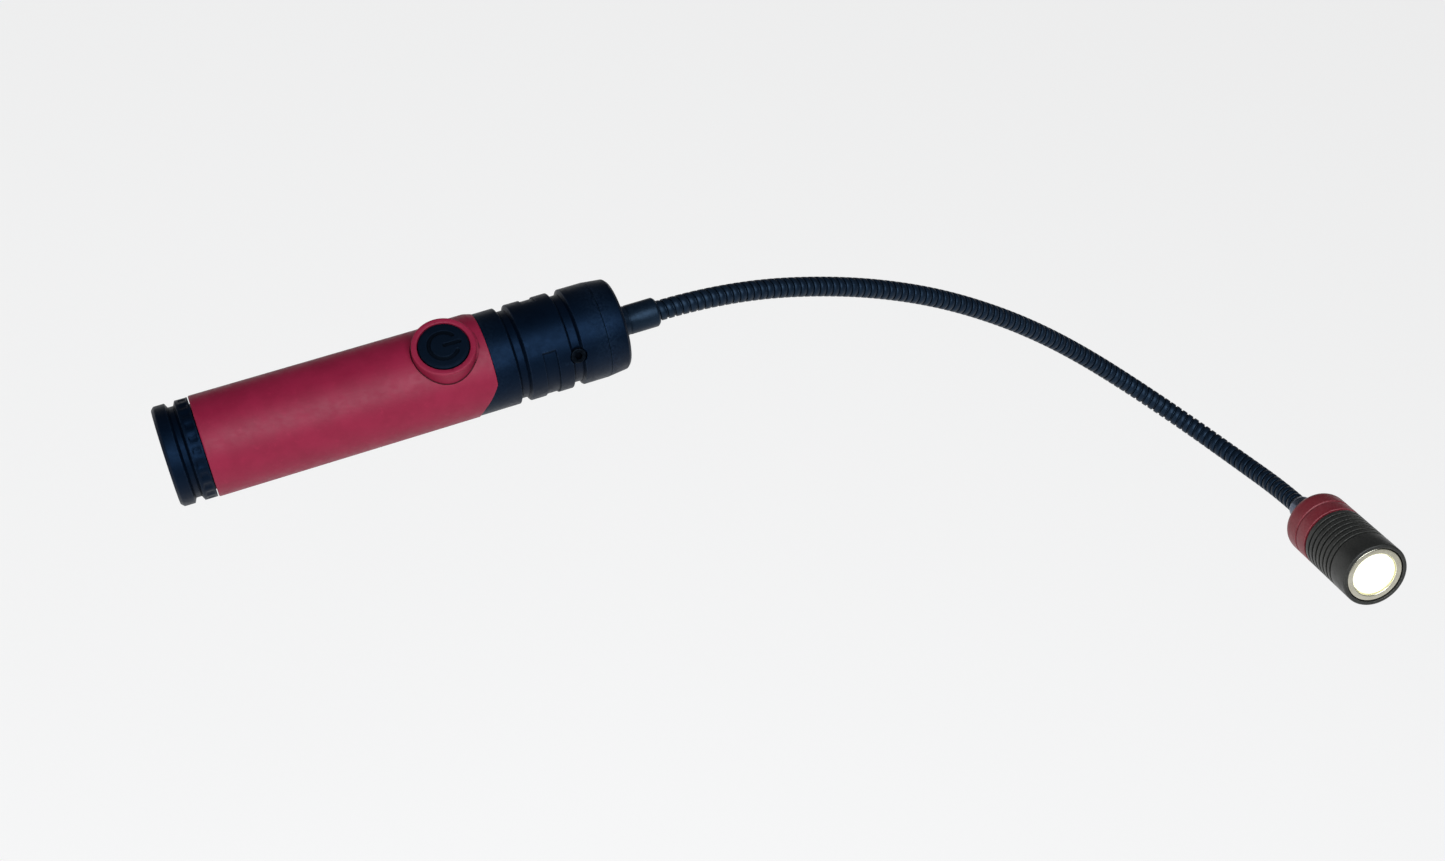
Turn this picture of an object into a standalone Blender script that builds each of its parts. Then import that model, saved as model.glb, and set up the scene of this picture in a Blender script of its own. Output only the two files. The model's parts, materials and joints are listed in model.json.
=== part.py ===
"""Flexible inspection light with a magnet ring round its lens.  Metres, +Z up.

The tool lies on the ground (z = 0) on the rim of its tail cap and on the low bend of its neck,
which holds the head just clear of the ground.  Handle pieces are modelled along the handle's own
axes: +X from the tail to the neck, +Z on the side of the power button.  Head pieces are modelled
along the head's own axes: +X from the ferrule to the lens.  Each moving piece hangs from an empty
on its joint.
"""

from math import cos, pi, radians, sin, sqrt, tan

import bmesh
import bpy
from mathutils import Vector

MM = 0.001
GAP = 0.3 * MM
RIGHT_ANGLE = pi / 2

# How the tool lies: the handle's nose is raised and the handle is rolled about its own axis.
LYING_TILT = radians(13.84)
LYING_ROLL = radians(20.93)

# Handle, measured along its axis from the tail face.
HANDLE_LENGTH = 150 * MM
TAIL_END = 11.5 * MM
JUNCTION_X = 104.0 * MM
BODY_RADIUS = 16.5 * MM
BODY_BORE = 14.3 * MM
SPIGOT_START = 84 * MM
SPIGOT_END = 133.7 * MM
SPIGOT_RADIUS = 13.4 * MM
SPIGOT_BORE = 11.9 * MM
FAR = 30 * MM

# Body and collar meet along this line, given as (x, height over the axis), from the bottom up.
JUNCTION_LINE = (
    (97.0 * MM, -30.0 * MM),
    (97.4 * MM, -3.5 * MM),
    (98.9 * MM, 0.6 * MM),
    (JUNCTION_X, 9.2 * MM),
)

# Collar: a plain band, then each groove or recess, along the handle's axis.
COLLAR_RADIUS = 16.25 * MM
COLLAR_BORE = 13.7 * MM
COLLAR_FRONT = 142.4 * MM
GROOVE_DEPTH = 1.5 * MM
REAR_GROOVE = (111.4 * MM, 115.4 * MM, 0.8 * MM)
FRONT_GROOVE = (129.6 * MM, 133.8 * MM, 0.7 * MM)
RECESS = (120.3 * MM, 124.9 * MM)
RECESS_DEPTH = 0.5 * MM
RECESS_LAND = radians(37)
WEB = (134.0 * MM, 137.0 * MM)
WEB_HOLE = 6.5 * MM
FRONT_SOCKET_RADIUS = 11.2 * MM
COLLAR_SCREW_X = 131.8 * MM
COLLAR_SCREWS = {"left": radians(52), "right": radians(232)}
SCREW_SINK_RADIUS = 2.9 * MM
SCREW_HEAD_RADIUS = 2.5 * MM
SCREW_SHANK_RADIUS = 1.0 * MM
SCREW_HOLE_RADIUS = 1.35 * MM
SCREW_SEAT = 14.25 * MM

# Front ring and the socket that holds the neck.
RING_BACK = 142.7 * MM
RING_RADIUS = 16.2 * MM
RING_FRONT_RADIUS = 15.5 * MM
RING_SPIGOT_RADIUS = 10.9 * MM
RING_SPIGOT_BACK = 139.9 * MM
RING_FACE_RADIUS = 12.5 * MM
RING_FACE_DEPTH = 1.2 * MM
RING_SEAL_X = 141.3 * MM
SOCKET_RADIUS = 5.0 * MM
SOCKET_BACK = 137.3 * MM
SOCKET_MOUTH = 164.5 * MM
SOCKET_FLANGE = 10.6 * MM
SOCKET_FLANGE_FRONT = 139.6 * MM
SOCKET_BORE = 3.8 * MM
SOCKET_STOP = 141.0 * MM
LEAD_HOLE = 2.2 * MM

# Power button, on its own axis across the handle.
BUTTON_X = 90.7 * MM
BUTTON_RADIUS = 8.1 * MM
BUTTON_TOP = 19.2 * MM
BUTTON_FLANGE_RADIUS = 8.8 * MM
BUTTON_BOTTOM = 12.0 * MM
BUTTON_FLANGE_TOP = 12.9 * MM
POCKET_TOP = 13.2 * MM
POCKET_BOTTOM = 3.0 * MM
RETAINER = (9.4 * MM, 10.7 * MM)
RETAINER_BORE = 6.4 * MM
PLUNGER_BOTTOM = 8.9 * MM
PLUNGER_RADIUS = 1.5 * MM
SWITCH_TOP = 9.2 * MM
SWITCH_HALF = 3.1 * MM
SWITCH_WELL = (7.6 * MM, 1.8 * MM)
BOSS_RADIUS = 10.3 * MM
BOSS_TOP = 19.0 * MM
BOARD_TOP = 5.4 * MM
BOARD_THICKNESS = 1.2 * MM
BOARD_REACH = (76 * MM, 108 * MM)
BOARD_HALF_WIDTH = 10.3 * MM
CONTACT_BOARD = (70.0 * MM, 71.5 * MM)
CONTACT_BOARD_RADIUS = 13.9 * MM

# Batteries and their carrier.
CELL_RADIUS = 5.25 * MM
CELL_LENGTH = 44.5 * MM
CELL_RING = 6.35 * MM
CARRIER_BACK = 13.9 * MM
CARRIER_PLATE = 3.5 * MM
CARRIER_RADIUS = 11.65 * MM
CELL_START = CARRIER_BACK + CARRIER_PLATE + GAP
CARRIER_FRONT = CELL_START + CELL_LENGTH + GAP + CARRIER_PLATE

# Tail cap: a grooved rim and a spigot that screws into the body.
TAIL_SPIGOT_RADIUS = 13.9 * MM
TAIL_SPIGOT_BORE = 11.9 * MM
TAIL_SPIGOT_END = 21.0 * MM
TAIL_SEAL_GROOVE = (17.6 * MM, 19.2 * MM)
TAIL_FLOOR = 3.0 * MM
TAIL_GROOVE = (4.4 * MM, 7.5 * MM, 0.7 * MM)
TAIL_CONTACT = (12.3 * MM, 13.3 * MM)
TAIL_CONTACT_RADIUS = 6.0 * MM

# Neck: a half link in the socket, then whole links, then a half link in the head.
NECK_RADIUS = 3.5 * MM
NECK_BORE = 1.6 * MM
LEAD_RADIUS = 0.95 * MM
LINK = 25.4 * MM
MAX_BEND = radians(28)
# Where the neck was left bent: degrees away from the button and to the side, joint by joint.
REST_BENDS = (
    (12.5, 0.0), (5.5, -4.0), (3.0, -3.5), (2.5, -4.5), (4.5, -3.5), (3.5, -3.0),
    (1.5, -5.5), (-4.0, -11.5), (-12.0, -19.0), (-16.5, -22.5), (-16.0, -18.0), (-4.5, -11.0),
)

# Head, measured along its axis from the end of the neck.
HEAD_RADIUS = 11.8 * MM
FERRULE_LENGTH = 10 * MM
CAP_BACK = 10.3 * MM
CAP_FRONT = 24.6 * MM
CAP_ROUNDING = 2.5 * MM
BARREL_BACK = 24.9 * MM
BARREL_FRONT = 51.7 * MM
BARREL_ROUNDING = 1.3 * MM
BARREL_SHOULDER = 25.8 * MM
FIN_COUNT = 7
FIN_START = 27.4 * MM
FIN_PITCH = 2.42 * MM
FIN_GROOVE = 0.9 * MM
FIN_DEPTH = 0.8 * MM
BARREL_SPIGOT_BACK = 20.2 * MM
BARREL_SPIGOT_RADIUS = 9.2 * MM
HEAD_SEAL_GROOVE = (21.5 * MM, 22.9 * MM)
CAP_SOCKET_FLOOR = 13.3 * MM
CAP_SOCKET_RADIUS = 9.5 * MM
CAP_LINE = (18.3 * MM, 19.3 * MM, 0.3 * MM)
CAP_LINE_DEPTH = 0.4 * MM
BULKHEAD = (32.0 * MM, 34.0 * MM)
LAMP_BORE = 9.3 * MM
WIRING_BORE = 7.4 * MM
GASKET_SEAT = 46.3 * MM
NOSE_BORE = 10.4 * MM
LENS_RADIUS = 7.7 * MM
LENS_BACK = 47.5 * MM
LENS_EDGE = 50.6 * MM
LENS_CROWN = 0.7 * MM
LED_BOARD = (34.3 * MM, 35.8 * MM)
EMITTER = (36.1 * MM, 37.4 * MM)
EMITTER_HALF = 2.5 * MM
REFLECTOR_BACK = 38.0 * MM
REFLECTOR_FRONT = 46.0 * MM
MAGNET_RADII = (8.0 * MM, 10.1 * MM)
MAGNET_FRONT = 51.3 * MM

# Sides on a turned piece, by its size.
LARGE = 32
MEDIUM = 24
SMALL = 16

for old in list(bpy.data.objects):
    bpy.data.objects.remove(old, do_unlink=True)

parts = bpy.data.collections.new("flexible_inspection_light")
cutters = bpy.data.collections.new("cutters")
bpy.context.scene.collection.children.link(parts)
bpy.context.scene.collection.children.link(cutters)


# ---------------------------------------------------------------- materials

def material(name, colour, roughness, metallic=0.0, transmission=0.0):
    new = bpy.data.materials.new(name)
    new.use_nodes = True
    new.diffuse_color = (*colour, 1.0)
    surface = new.node_tree.nodes["Principled BSDF"]
    surface.inputs["Base Color"].default_value = (*colour, 1.0)
    surface.inputs["Roughness"].default_value = roughness
    surface.inputs["Metallic"].default_value = metallic
    surface.inputs["Transmission Weight"].default_value = transmission
    return new


RED = material("red_plastic", (0.33, 0.015, 0.03), 0.4)
RED_METAL = material("red_anodised", (0.30, 0.02, 0.03), 0.35, 0.6)
BLACK = material("black_plastic", (0.012, 0.016, 0.026), 0.45)
BLACK_METAL = material("black_anodised", (0.010, 0.012, 0.018), 0.38, 0.7)
RUBBER = material("black_rubber", (0.012, 0.016, 0.02), 0.7)
NECK_STEEL = material("neck_steel", (0.008, 0.010, 0.018), 0.3, 0.8)
BRIGHT_STEEL = material("bright_steel", (0.35, 0.38, 0.45), 0.3, 1.0)
SPRING_STEEL = material("spring_steel", (0.55, 0.55, 0.55), 0.25, 1.0)
MAGNET = material("nickel", (0.45, 0.44, 0.42), 0.22, 1.0)
BOARD = material("circuit_board", (0.02, 0.14, 0.06), 0.5)
PHOSPHOR = material("led_phosphor", (0.9, 0.75, 0.2), 0.5)
MIRROR = material("reflector_coating", (0.85, 0.85, 0.86), 0.08, 1.0)
LENS = material("clear_lens", (0.95, 0.97, 0.98), 0.05, 0.0, 0.9)
CELL_WRAP = material("cell_wrap", (0.10, 0.16, 0.30), 0.35, 0.4)
LEAD_JACKET = material("lead_jacket", (0.05, 0.05, 0.05), 0.6)


# ---------------------------------------------------------------- shape helpers

def empty(name, parent=None, location=(0, 0, 0), rotation=(0, 0, 0)):
    """A frame to hang pieces on."""
    new = bpy.data.objects.new(name, None)
    parts.objects.link(new)
    new.parent = parent
    new.location = location
    new.rotation_euler = rotation
    return new


def place(obj, frame, surface=None, location=(0, 0, 0), rotation=(0, 0, 0)):
    """Hang a mesh object on a frame, as a part if it has a material and as a cutter if not."""
    obj.parent = frame
    obj.location = location
    obj.rotation_euler = rotation
    if surface is None:
        cutters.objects.link(obj)
        obj.hide_render = True
        obj.display_type = "WIRE"
    else:
        parts.objects.link(obj)
        obj.data.materials.append(surface)
    return obj


def smooth(mesh):
    mesh.shade_smooth()
    mesh.set_sharp_from_angle(angle=radians(35))


def turned(name, profile, frame, surface=None, sides=LARGE, **where):
    """Turn a closed outline about X.  Points are (x, radius), and the outer side runs towards -X."""
    mesh = bpy.data.meshes.new(name)
    points = [(x, radius, 0) for x, radius in profile]
    edges = [(i, i + 1) for i in range(len(points) - 1)]
    if profile[0][1] > 0:
        edges.append((len(points) - 1, 0))
    mesh.from_pydata(points, edges, [])
    obj = place(bpy.data.objects.new(name, mesh), frame, surface, **where)
    screw = obj.modifiers.new("turn", "SCREW")
    screw.axis = "X"
    screw.steps = sides
    screw.render_steps = sides
    screw.use_merge_vertices = True
    screw.merge_threshold = 0.00001
    screw.use_smooth_shade = False
    return obj


def block(name, low, high, frame, surface=None, **where):
    """A box between two corners."""
    mesh = bpy.data.meshes.new(name)
    shape = bmesh.new()
    bmesh.ops.create_cube(shape, size=1)
    size = Vector(high) - Vector(low)
    centre = (Vector(high) + Vector(low)) / 2
    bmesh.ops.scale(shape, vec=size, verts=shape.verts)
    bmesh.ops.translate(shape, vec=centre, verts=shape.verts)
    shape.to_mesh(mesh)
    shape.free()
    return place(bpy.data.objects.new(name, mesh), frame, surface, **where)


def mesh_from_curve(curve):
    """The curve's own surface as a welded mesh; the curve is removed."""
    carrier = bpy.data.objects.new("carrier", curve)
    cutters.objects.link(carrier)
    bpy.context.view_layer.update()
    graph = bpy.context.evaluated_depsgraph_get()
    mesh = bpy.data.meshes.new_from_object(carrier.evaluated_get(graph))
    shape = bmesh.new()
    shape.from_mesh(mesh)
    bmesh.ops.remove_doubles(shape, verts=shape.verts, dist=0.000001)
    shape.to_mesh(mesh)
    shape.free()
    bpy.data.objects.remove(carrier, do_unlink=True)
    mesh.materials.clear()
    return mesh


def prism(name, outline, half_width, frame, surface=None, **where):
    """A flat outline given as (x, z) points, as thick as the width along Y."""
    curve = bpy.data.curves.new(name, "CURVE")
    curve.dimensions = "2D"
    curve.fill_mode = "BOTH"
    curve.extrude = half_width
    spline = curve.splines.new("POLY")
    spline.points.add(len(outline) - 1)
    for point, (x, z) in zip(spline.points, outline):
        point.co = (x, z, 0, 1)
    spline.use_cyclic_u = True
    mesh = mesh_from_curve(curve)
    obj = place(bpy.data.objects.new(name, mesh), frame, surface, **where)
    obj.rotation_euler = (RIGHT_ANGLE, 0, 0)
    return obj


def wire(name, points, radius, frame, surface, resolution=2):
    """A round wire along a list of points."""
    curve = bpy.data.curves.new(name, "CURVE")
    curve.dimensions = "3D"
    curve.bevel_depth = radius
    curve.bevel_resolution = resolution
    curve.use_fill_caps = True
    spline = curve.splines.new("POLY")
    spline.points.add(len(points) - 1)
    for point, place_at in zip(spline.points, points):
        point.co = (*place_at, 1)
    mesh = mesh_from_curve(curve)
    smooth(mesh)
    return place(bpy.data.objects.new(name, mesh), frame, surface)


def coil(name, start, end, start_radius, end_radius, turns, radius, frame, surface):
    """A compression spring round X, from one end radius to the other."""
    per_turn = 12
    count = turns * per_turn
    points = []
    for i in range(count + 1):
        share = i / count
        around = 2 * pi * i / per_turn
        reach = start_radius + (end_radius - start_radius) * share
        points.append((start + (end - start) * share, reach * cos(around), reach * sin(around)))
    return wire(name, points, radius, frame, surface, resolution=1)


def seal_ring(name, x, ring_radius, section, frame):
    """A rubber ring round X with a round section."""
    outline = []
    for i in range(8):
        around = 2 * pi * i / 8
        outline.append((x - section * sin(around), ring_radius + section * cos(around)))
    return turned(name, outline, frame, RUBBER, MEDIUM)


def cut(obj, cutter, operation="DIFFERENCE"):
    change = obj.modifiers.new(cutter.name, "BOOLEAN")
    change.operation = operation
    change.object = cutter


def quarter(x, radius, size, outward, steps=3):
    """A quarter round of an edge: from the end face to the side, or back when outward is -1."""
    points = []
    for i in range(steps + 1):
        angle = RIGHT_ANGLE * i / steps
        points.append((x + outward * size * cos(angle), radius + size * sin(angle)))
    return points


# ---------------------------------------------------------------- frames and joints

tool = empty("lying_tool", rotation=(LYING_ROLL, -LYING_TILT, 0))
button_frame = empty("button_joint", tool, (BUTTON_X, 0, 0), (0, -RIGHT_ANGLE, 0))
tail_frame = empty("tail_joint", tool)

neck_joints = []
reach = SOCKET_MOUTH + LINK / 2
for number, (pitch, yaw) in enumerate(REST_BENDS, start=1):
    above = neck_joints[-1] if neck_joints else tool
    joint = empty(f"neck_joint_{number:02d}", above, (reach, 0, 0))
    joint.rotation_mode = "ZYX"
    joint.rotation_euler = (0, radians(pitch), radians(yaw))
    neck_joints.append(joint)
    reach = LINK
head = empty("head_frame", neck_joints[-1], (LINK / 2, 0, 0))


# ---------------------------------------------------------------- handle

def make_handle_body():
    body = turned("handle_body", [
        (JUNCTION_X, SPIGOT_RADIUS - GAP),
        (JUNCTION_X, BODY_RADIUS - 0.2 * MM),
        (JUNCTION_X - 0.2 * MM, BODY_RADIUS),
        (TAIL_END + GAP + 0.5 * MM, BODY_RADIUS),
        (TAIL_END + GAP, BODY_RADIUS - 0.5 * MM),
        (TAIL_END + GAP, BODY_BORE),
        (SPIGOT_START, BODY_BORE),
        (SPIGOT_START, SPIGOT_RADIUS - GAP),
    ], tool, RED)
    under = prism("slant_cutter", [
        *JUNCTION_LINE,
        (JUNCTION_X + FAR, FAR),
        (JUNCTION_X + FAR, -FAR),
    ], FAR, tool)
    spigot = turned("spigot_form", [
        (SPIGOT_END, SPIGOT_BORE),
        (SPIGOT_END, SPIGOT_RADIUS - 0.5 * MM),
        (SPIGOT_END - 0.5 * MM, SPIGOT_RADIUS),
        (SPIGOT_START + 1 * MM, SPIGOT_RADIUS),
        (SPIGOT_START + 1 * MM, SPIGOT_BORE),
    ], tool)
    boss = turned("boss_form", [
        (BOSS_TOP, 0),
        (BOSS_TOP, BOSS_RADIUS - 1.2 * MM),
        (BOSS_TOP - 0.5 * MM, BOSS_RADIUS - 0.6 * MM),
        (BOSS_TOP - 1.3 * MM, BOSS_RADIUS - 0.2 * MM),
        (BOSS_TOP - 2.4 * MM, BOSS_RADIUS),
        (BUTTON_BOTTOM, BOSS_RADIUS),
        (BUTTON_BOTTOM, 0),
    ], button_frame)
    bore = turned("button_bore", [
        (BOSS_TOP + 5 * MM, 0),
        (BOSS_TOP + 5 * MM, BUTTON_RADIUS + GAP),
        (POCKET_TOP, BUTTON_RADIUS + GAP),
        (POCKET_TOP, BUTTON_FLANGE_RADIUS + GAP),
        (POCKET_BOTTOM, BUTTON_FLANGE_RADIUS + GAP),
        (POCKET_BOTTOM, 0),
    ], button_frame)
    for side in COLLAR_SCREWS:
        cut(spigot, radial_hole(f"spigot_hole_{side}", side, SCREW_HOLE_RADIUS))
    cut(body, under)
    cut(body, spigot, "UNION")
    cut(body, boss, "UNION")
    cut(body, bore)
    return body


def radial_hole(name, side, radius, bottom=9 * MM):
    """A round hole across the wall at the collar screws, on a spoke of the handle."""
    outline = [(FAR, 0), (FAR, radius), (bottom, radius), (bottom, 0)]
    spoke = screw_frame(side)
    return turned(name, outline, spoke, None, SMALL)


def screw_frame(side):
    """A frame on the collar screw's axis: its X points outwards, turned from the button's side."""
    name = f"screw_axis_{side}"
    if name in bpy.data.objects:
        return bpy.data.objects[name]
    turn = empty(f"screw_turn_{side}", tool, (COLLAR_SCREW_X, 0, 0),
                 (COLLAR_SCREWS[side], 0, 0))
    return empty(name, turn, rotation=(0, -RIGHT_ANGLE, 0))


def groove(front_to_back, radius, depth):
    """A groove with sloped walls, from its front edge to its back edge."""
    back, front, slope = front_to_back
    return [(front, radius), (front - slope, radius - depth), (back + slope, radius - depth),
            (back, radius)]


def make_collar():
    back = JUNCTION_LINE[0][0] - 2 * MM
    collar = turned("collar", [
        (COLLAR_FRONT, FRONT_SOCKET_RADIUS),
        (COLLAR_FRONT, COLLAR_RADIUS),
        *groove(FRONT_GROOVE, COLLAR_RADIUS, GROOVE_DEPTH),
        *groove(REAR_GROOVE, COLLAR_RADIUS, GROOVE_DEPTH),
        (back, COLLAR_RADIUS),
        (back, COLLAR_BORE),
        (WEB[0], COLLAR_BORE),
        (WEB[0], WEB_HOLE),
        (WEB[1], WEB_HOLE),
        (WEB[1], FRONT_SOCKET_RADIUS),
    ], tool, BLACK)
    behind = prism("collar_back_cutter", [
        *((x + GAP, height) for x, height in JUNCTION_LINE),
        (JUNCTION_X + GAP, FAR),
        (JUNCTION_X - FAR, FAR),
        (JUNCTION_X - FAR, -FAR),
    ], FAR, tool)
    cut(collar, behind)
    cut(collar, recess_cutter())
    for side in COLLAR_SCREWS:
        cut(collar, radial_hole(f"screw_hole_{side}", side, SCREW_HOLE_RADIUS))
        cut(collar, radial_hole(f"screw_sink_{side}", side, SCREW_SINK_RADIUS, SCREW_SEAT))
    return collar


def recess_cutter():
    """A shallow ring round the collar, interrupted on the button's side and opposite it."""
    ring = turned("recess_ring", [
        (RECESS[1], COLLAR_RADIUS - RECESS_DEPTH),
        (RECESS[1], FAR),
        (RECESS[0], FAR),
        (RECESS[0], COLLAR_RADIUS - RECESS_DEPTH),
    ], tool)
    spread = 1.2 * FAR * tan(RECESS_LAND)
    for side in (-1, 1):
        wedge = prism(f"recess_land_{side}", [
            (0, 0),
            (spread, side * 1.2 * FAR),
            (-spread, side * 1.2 * FAR),
        ], 10 * MM, tool, location=((RECESS[0] + RECESS[1]) / 2, 0, 0))
        wedge.rotation_euler = (RIGHT_ANGLE, 0, RIGHT_ANGLE)
        cut(ring, wedge)
    return ring


def make_collar_screws():
    for side in COLLAR_SCREWS:
        seat = SCREW_SEAT + GAP
        screw = turned(f"collar_screw_{side}", [
            (seat + 1.4 * MM, 0),
            (seat + 1.4 * MM, SCREW_HEAD_RADIUS - 0.3 * MM),
            (seat + 1.1 * MM, SCREW_HEAD_RADIUS),
            (seat, SCREW_HEAD_RADIUS),
            (seat, SCREW_SHANK_RADIUS),
            (10.5 * MM, SCREW_SHANK_RADIUS),
            (10.5 * MM, 0),
        ], screw_frame(side), BLACK_METAL, SMALL)
        hexagon = turned(f"hex_socket_{side}", [
            (seat + 2 * MM, 0),
            (seat + 2 * MM, 1.2 * MM),
            (seat + 0.4 * MM, 1.2 * MM),
            (seat + 0.4 * MM, 0),
        ], screw_frame(side), None, 6)
        cut(screw, hexagon)


def make_front_ring():
    turned("front_ring", [
        (HANDLE_LENGTH - RING_FACE_DEPTH, SOCKET_RADIUS + GAP),
        (HANDLE_LENGTH - RING_FACE_DEPTH, RING_FACE_RADIUS),
        (HANDLE_LENGTH, RING_FACE_RADIUS + 0.8 * MM),
        (HANDLE_LENGTH, RING_FRONT_RADIUS - 1.0 * MM),
        (HANDLE_LENGTH - 1.0 * MM, RING_FRONT_RADIUS),
        (RING_BACK + 0.3 * MM, RING_RADIUS),
        (RING_BACK, RING_RADIUS - 0.3 * MM),
        (RING_BACK, RING_SPIGOT_RADIUS),
        (RING_SEAL_X + 0.7 * MM, RING_SPIGOT_RADIUS),
        (RING_SEAL_X + 0.7 * MM, RING_SPIGOT_RADIUS - 1.0 * MM),
        (RING_SEAL_X - 0.7 * MM, RING_SPIGOT_RADIUS - 1.0 * MM),
        (RING_SEAL_X - 0.7 * MM, RING_SPIGOT_RADIUS),
        (RING_SPIGOT_BACK, RING_SPIGOT_RADIUS),
        (RING_SPIGOT_BACK, SOCKET_RADIUS + GAP),
    ], tool, BLACK_METAL)
    seal_ring("front_ring_seal", RING_SEAL_X, RING_SPIGOT_RADIUS - 0.35 * MM, 0.35 * MM, tool)


def make_neck_socket():
    turned("neck_socket", [
        (SOCKET_MOUTH, SOCKET_BORE),
        (SOCKET_MOUTH, SOCKET_RADIUS - 0.6 * MM),
        (SOCKET_MOUTH - 0.6 * MM, SOCKET_RADIUS),
        (SOCKET_FLANGE_FRONT, SOCKET_RADIUS),
        (SOCKET_FLANGE_FRONT, SOCKET_FLANGE),
        (SOCKET_BACK, SOCKET_FLANGE),
        (SOCKET_BACK, LEAD_HOLE),
        (SOCKET_STOP, LEAD_HOLE),
        (SOCKET_STOP, SOCKET_BORE),
    ], tool, BLACK_METAL, MEDIUM)


def make_button():
    turned("power_button", [
        (BUTTON_TOP + 0.25 * MM, 0),
        (BUTTON_TOP, BUTTON_RADIUS - 2.5 * MM),
        (BUTTON_TOP - 0.2 * MM, BUTTON_RADIUS - 0.4 * MM),
        (BUTTON_TOP - 0.6 * MM, BUTTON_RADIUS),
        (BUTTON_FLANGE_TOP, BUTTON_RADIUS),
        (BUTTON_FLANGE_TOP, BUTTON_FLANGE_RADIUS),
        (BUTTON_BOTTOM, BUTTON_FLANGE_RADIUS),
        (BUTTON_BOTTOM, 0),
    ], button_frame, RUBBER)
    turned("switch_plunger", [
        (BUTTON_BOTTOM - GAP, 0),
        (BUTTON_BOTTOM - GAP, PLUNGER_RADIUS),
        (PLUNGER_BOTTOM, PLUNGER_RADIUS),
        (PLUNGER_BOTTOM, 0),
    ], button_frame, SPRING_STEEL, SMALL)
    turned("button_retainer", [
        (RETAINER[1], RETAINER_BORE),
        (RETAINER[1], BUTTON_FLANGE_RADIUS),
        (RETAINER[0], BUTTON_FLANGE_RADIUS),
        (RETAINER[0], RETAINER_BORE),
    ], button_frame, BLACK, MEDIUM)
    switch = block("tactile_switch", (BOARD_TOP + GAP, -SWITCH_HALF, -SWITCH_HALF),
                   (SWITCH_TOP, SWITCH_HALF, SWITCH_HALF), button_frame, BLACK)
    bottom, radius = SWITCH_WELL
    well = turned("switch_well", [
        (BUTTON_BOTTOM, 0),
        (BUTTON_BOTTOM, radius),
        (bottom, radius),
        (bottom, 0),
    ], button_frame, None, SMALL)
    cut(switch, well)


def make_electronics():
    low = (BOARD_REACH[0], -BOARD_HALF_WIDTH, BOARD_TOP - BOARD_THICKNESS)
    block("switch_board", low, (BOARD_REACH[1], BOARD_HALF_WIDTH, BOARD_TOP), tool, BOARD)
    block("driver_chip", (99 * MM, -2.5 * MM, BOARD_TOP + GAP),
          (104 * MM, 2.5 * MM, BOARD_TOP + 1.4 * MM), tool, BLACK)
    turned("contact_board", [
        (CONTACT_BOARD[1], 0),
        (CONTACT_BOARD[1], CONTACT_BOARD_RADIUS),
        (CONTACT_BOARD[0], CONTACT_BOARD_RADIUS),
        (CONTACT_BOARD[0], 0),
    ], tool, BOARD, MEDIUM)
    coil("front_contact_spring", 66.9 * MM, 69.2 * MM, 3.0 * MM, 4.6 * MM, 3, 0.35 * MM, tool,
         SPRING_STEEL)
    wire("handle_lead", [
        (109.5 * MM, 0, 3.2 * MM),
        (114 * MM, 0, 2.6 * MM),
        (119 * MM, 0, 1.2 * MM),
        (125 * MM, 0, 0.2 * MM),
        (131 * MM, 0, 0),
        (SOCKET_MOUTH + LINK / 2 - 0.8 * MM, 0, 0),
    ], LEAD_RADIUS, tool, LEAD_JACKET)


def make_batteries():
    for number in range(3):
        angle = 2 * pi * number / 3
        cell_frame = empty(f"cell_axis_{number + 1}", tool,
                           (0, CELL_RING * sin(angle), CELL_RING * cos(angle)))
        turned(f"battery_cell_{number + 1}", [
            (CELL_START + CELL_LENGTH, 0),
            (CELL_START + CELL_LENGTH, 1.9 * MM),
            (CELL_START + CELL_LENGTH - 1.0 * MM, 1.9 * MM),
            (CELL_START + CELL_LENGTH - 1.0 * MM, CELL_RADIUS - 0.4 * MM),
            (CELL_START + CELL_LENGTH - 1.4 * MM, CELL_RADIUS),
            (CELL_START + 0.3 * MM, CELL_RADIUS),
            (CELL_START, CELL_RADIUS - 0.3 * MM),
            (CELL_START, 0),
        ], cell_frame, CELL_WRAP, SMALL)
    carrier = turned("battery_carrier", [
        (CARRIER_BACK + CARRIER_PLATE, 0),
        (CARRIER_BACK + CARRIER_PLATE, CARRIER_RADIUS),
        (CARRIER_BACK, CARRIER_RADIUS),
        (CARRIER_BACK, 0),
    ], tool, BLACK, MEDIUM)
    front_plate = turned("carrier_front_form", [
        (CARRIER_FRONT, 0),
        (CARRIER_FRONT, CARRIER_RADIUS),
        (CARRIER_FRONT - CARRIER_PLATE, CARRIER_RADIUS),
        (CARRIER_FRONT - CARRIER_PLATE, 0),
    ], tool, None, MEDIUM)
    cut(carrier, front_plate, "UNION")
    for number in range(3):
        turn = empty(f"carrier_rib_axis_{number + 1}", tool, rotation=(pi / 3 * (2 * number + 1), 0, 0))
        rib = block(f"carrier_rib_{number + 1}", (CARRIER_BACK + 1 * MM, -2.0 * MM, 8.4 * MM),
                    (CARRIER_FRONT - 1 * MM, 2.0 * MM, 10.9 * MM), turn)
        cut(carrier, rib, "UNION")


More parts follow.
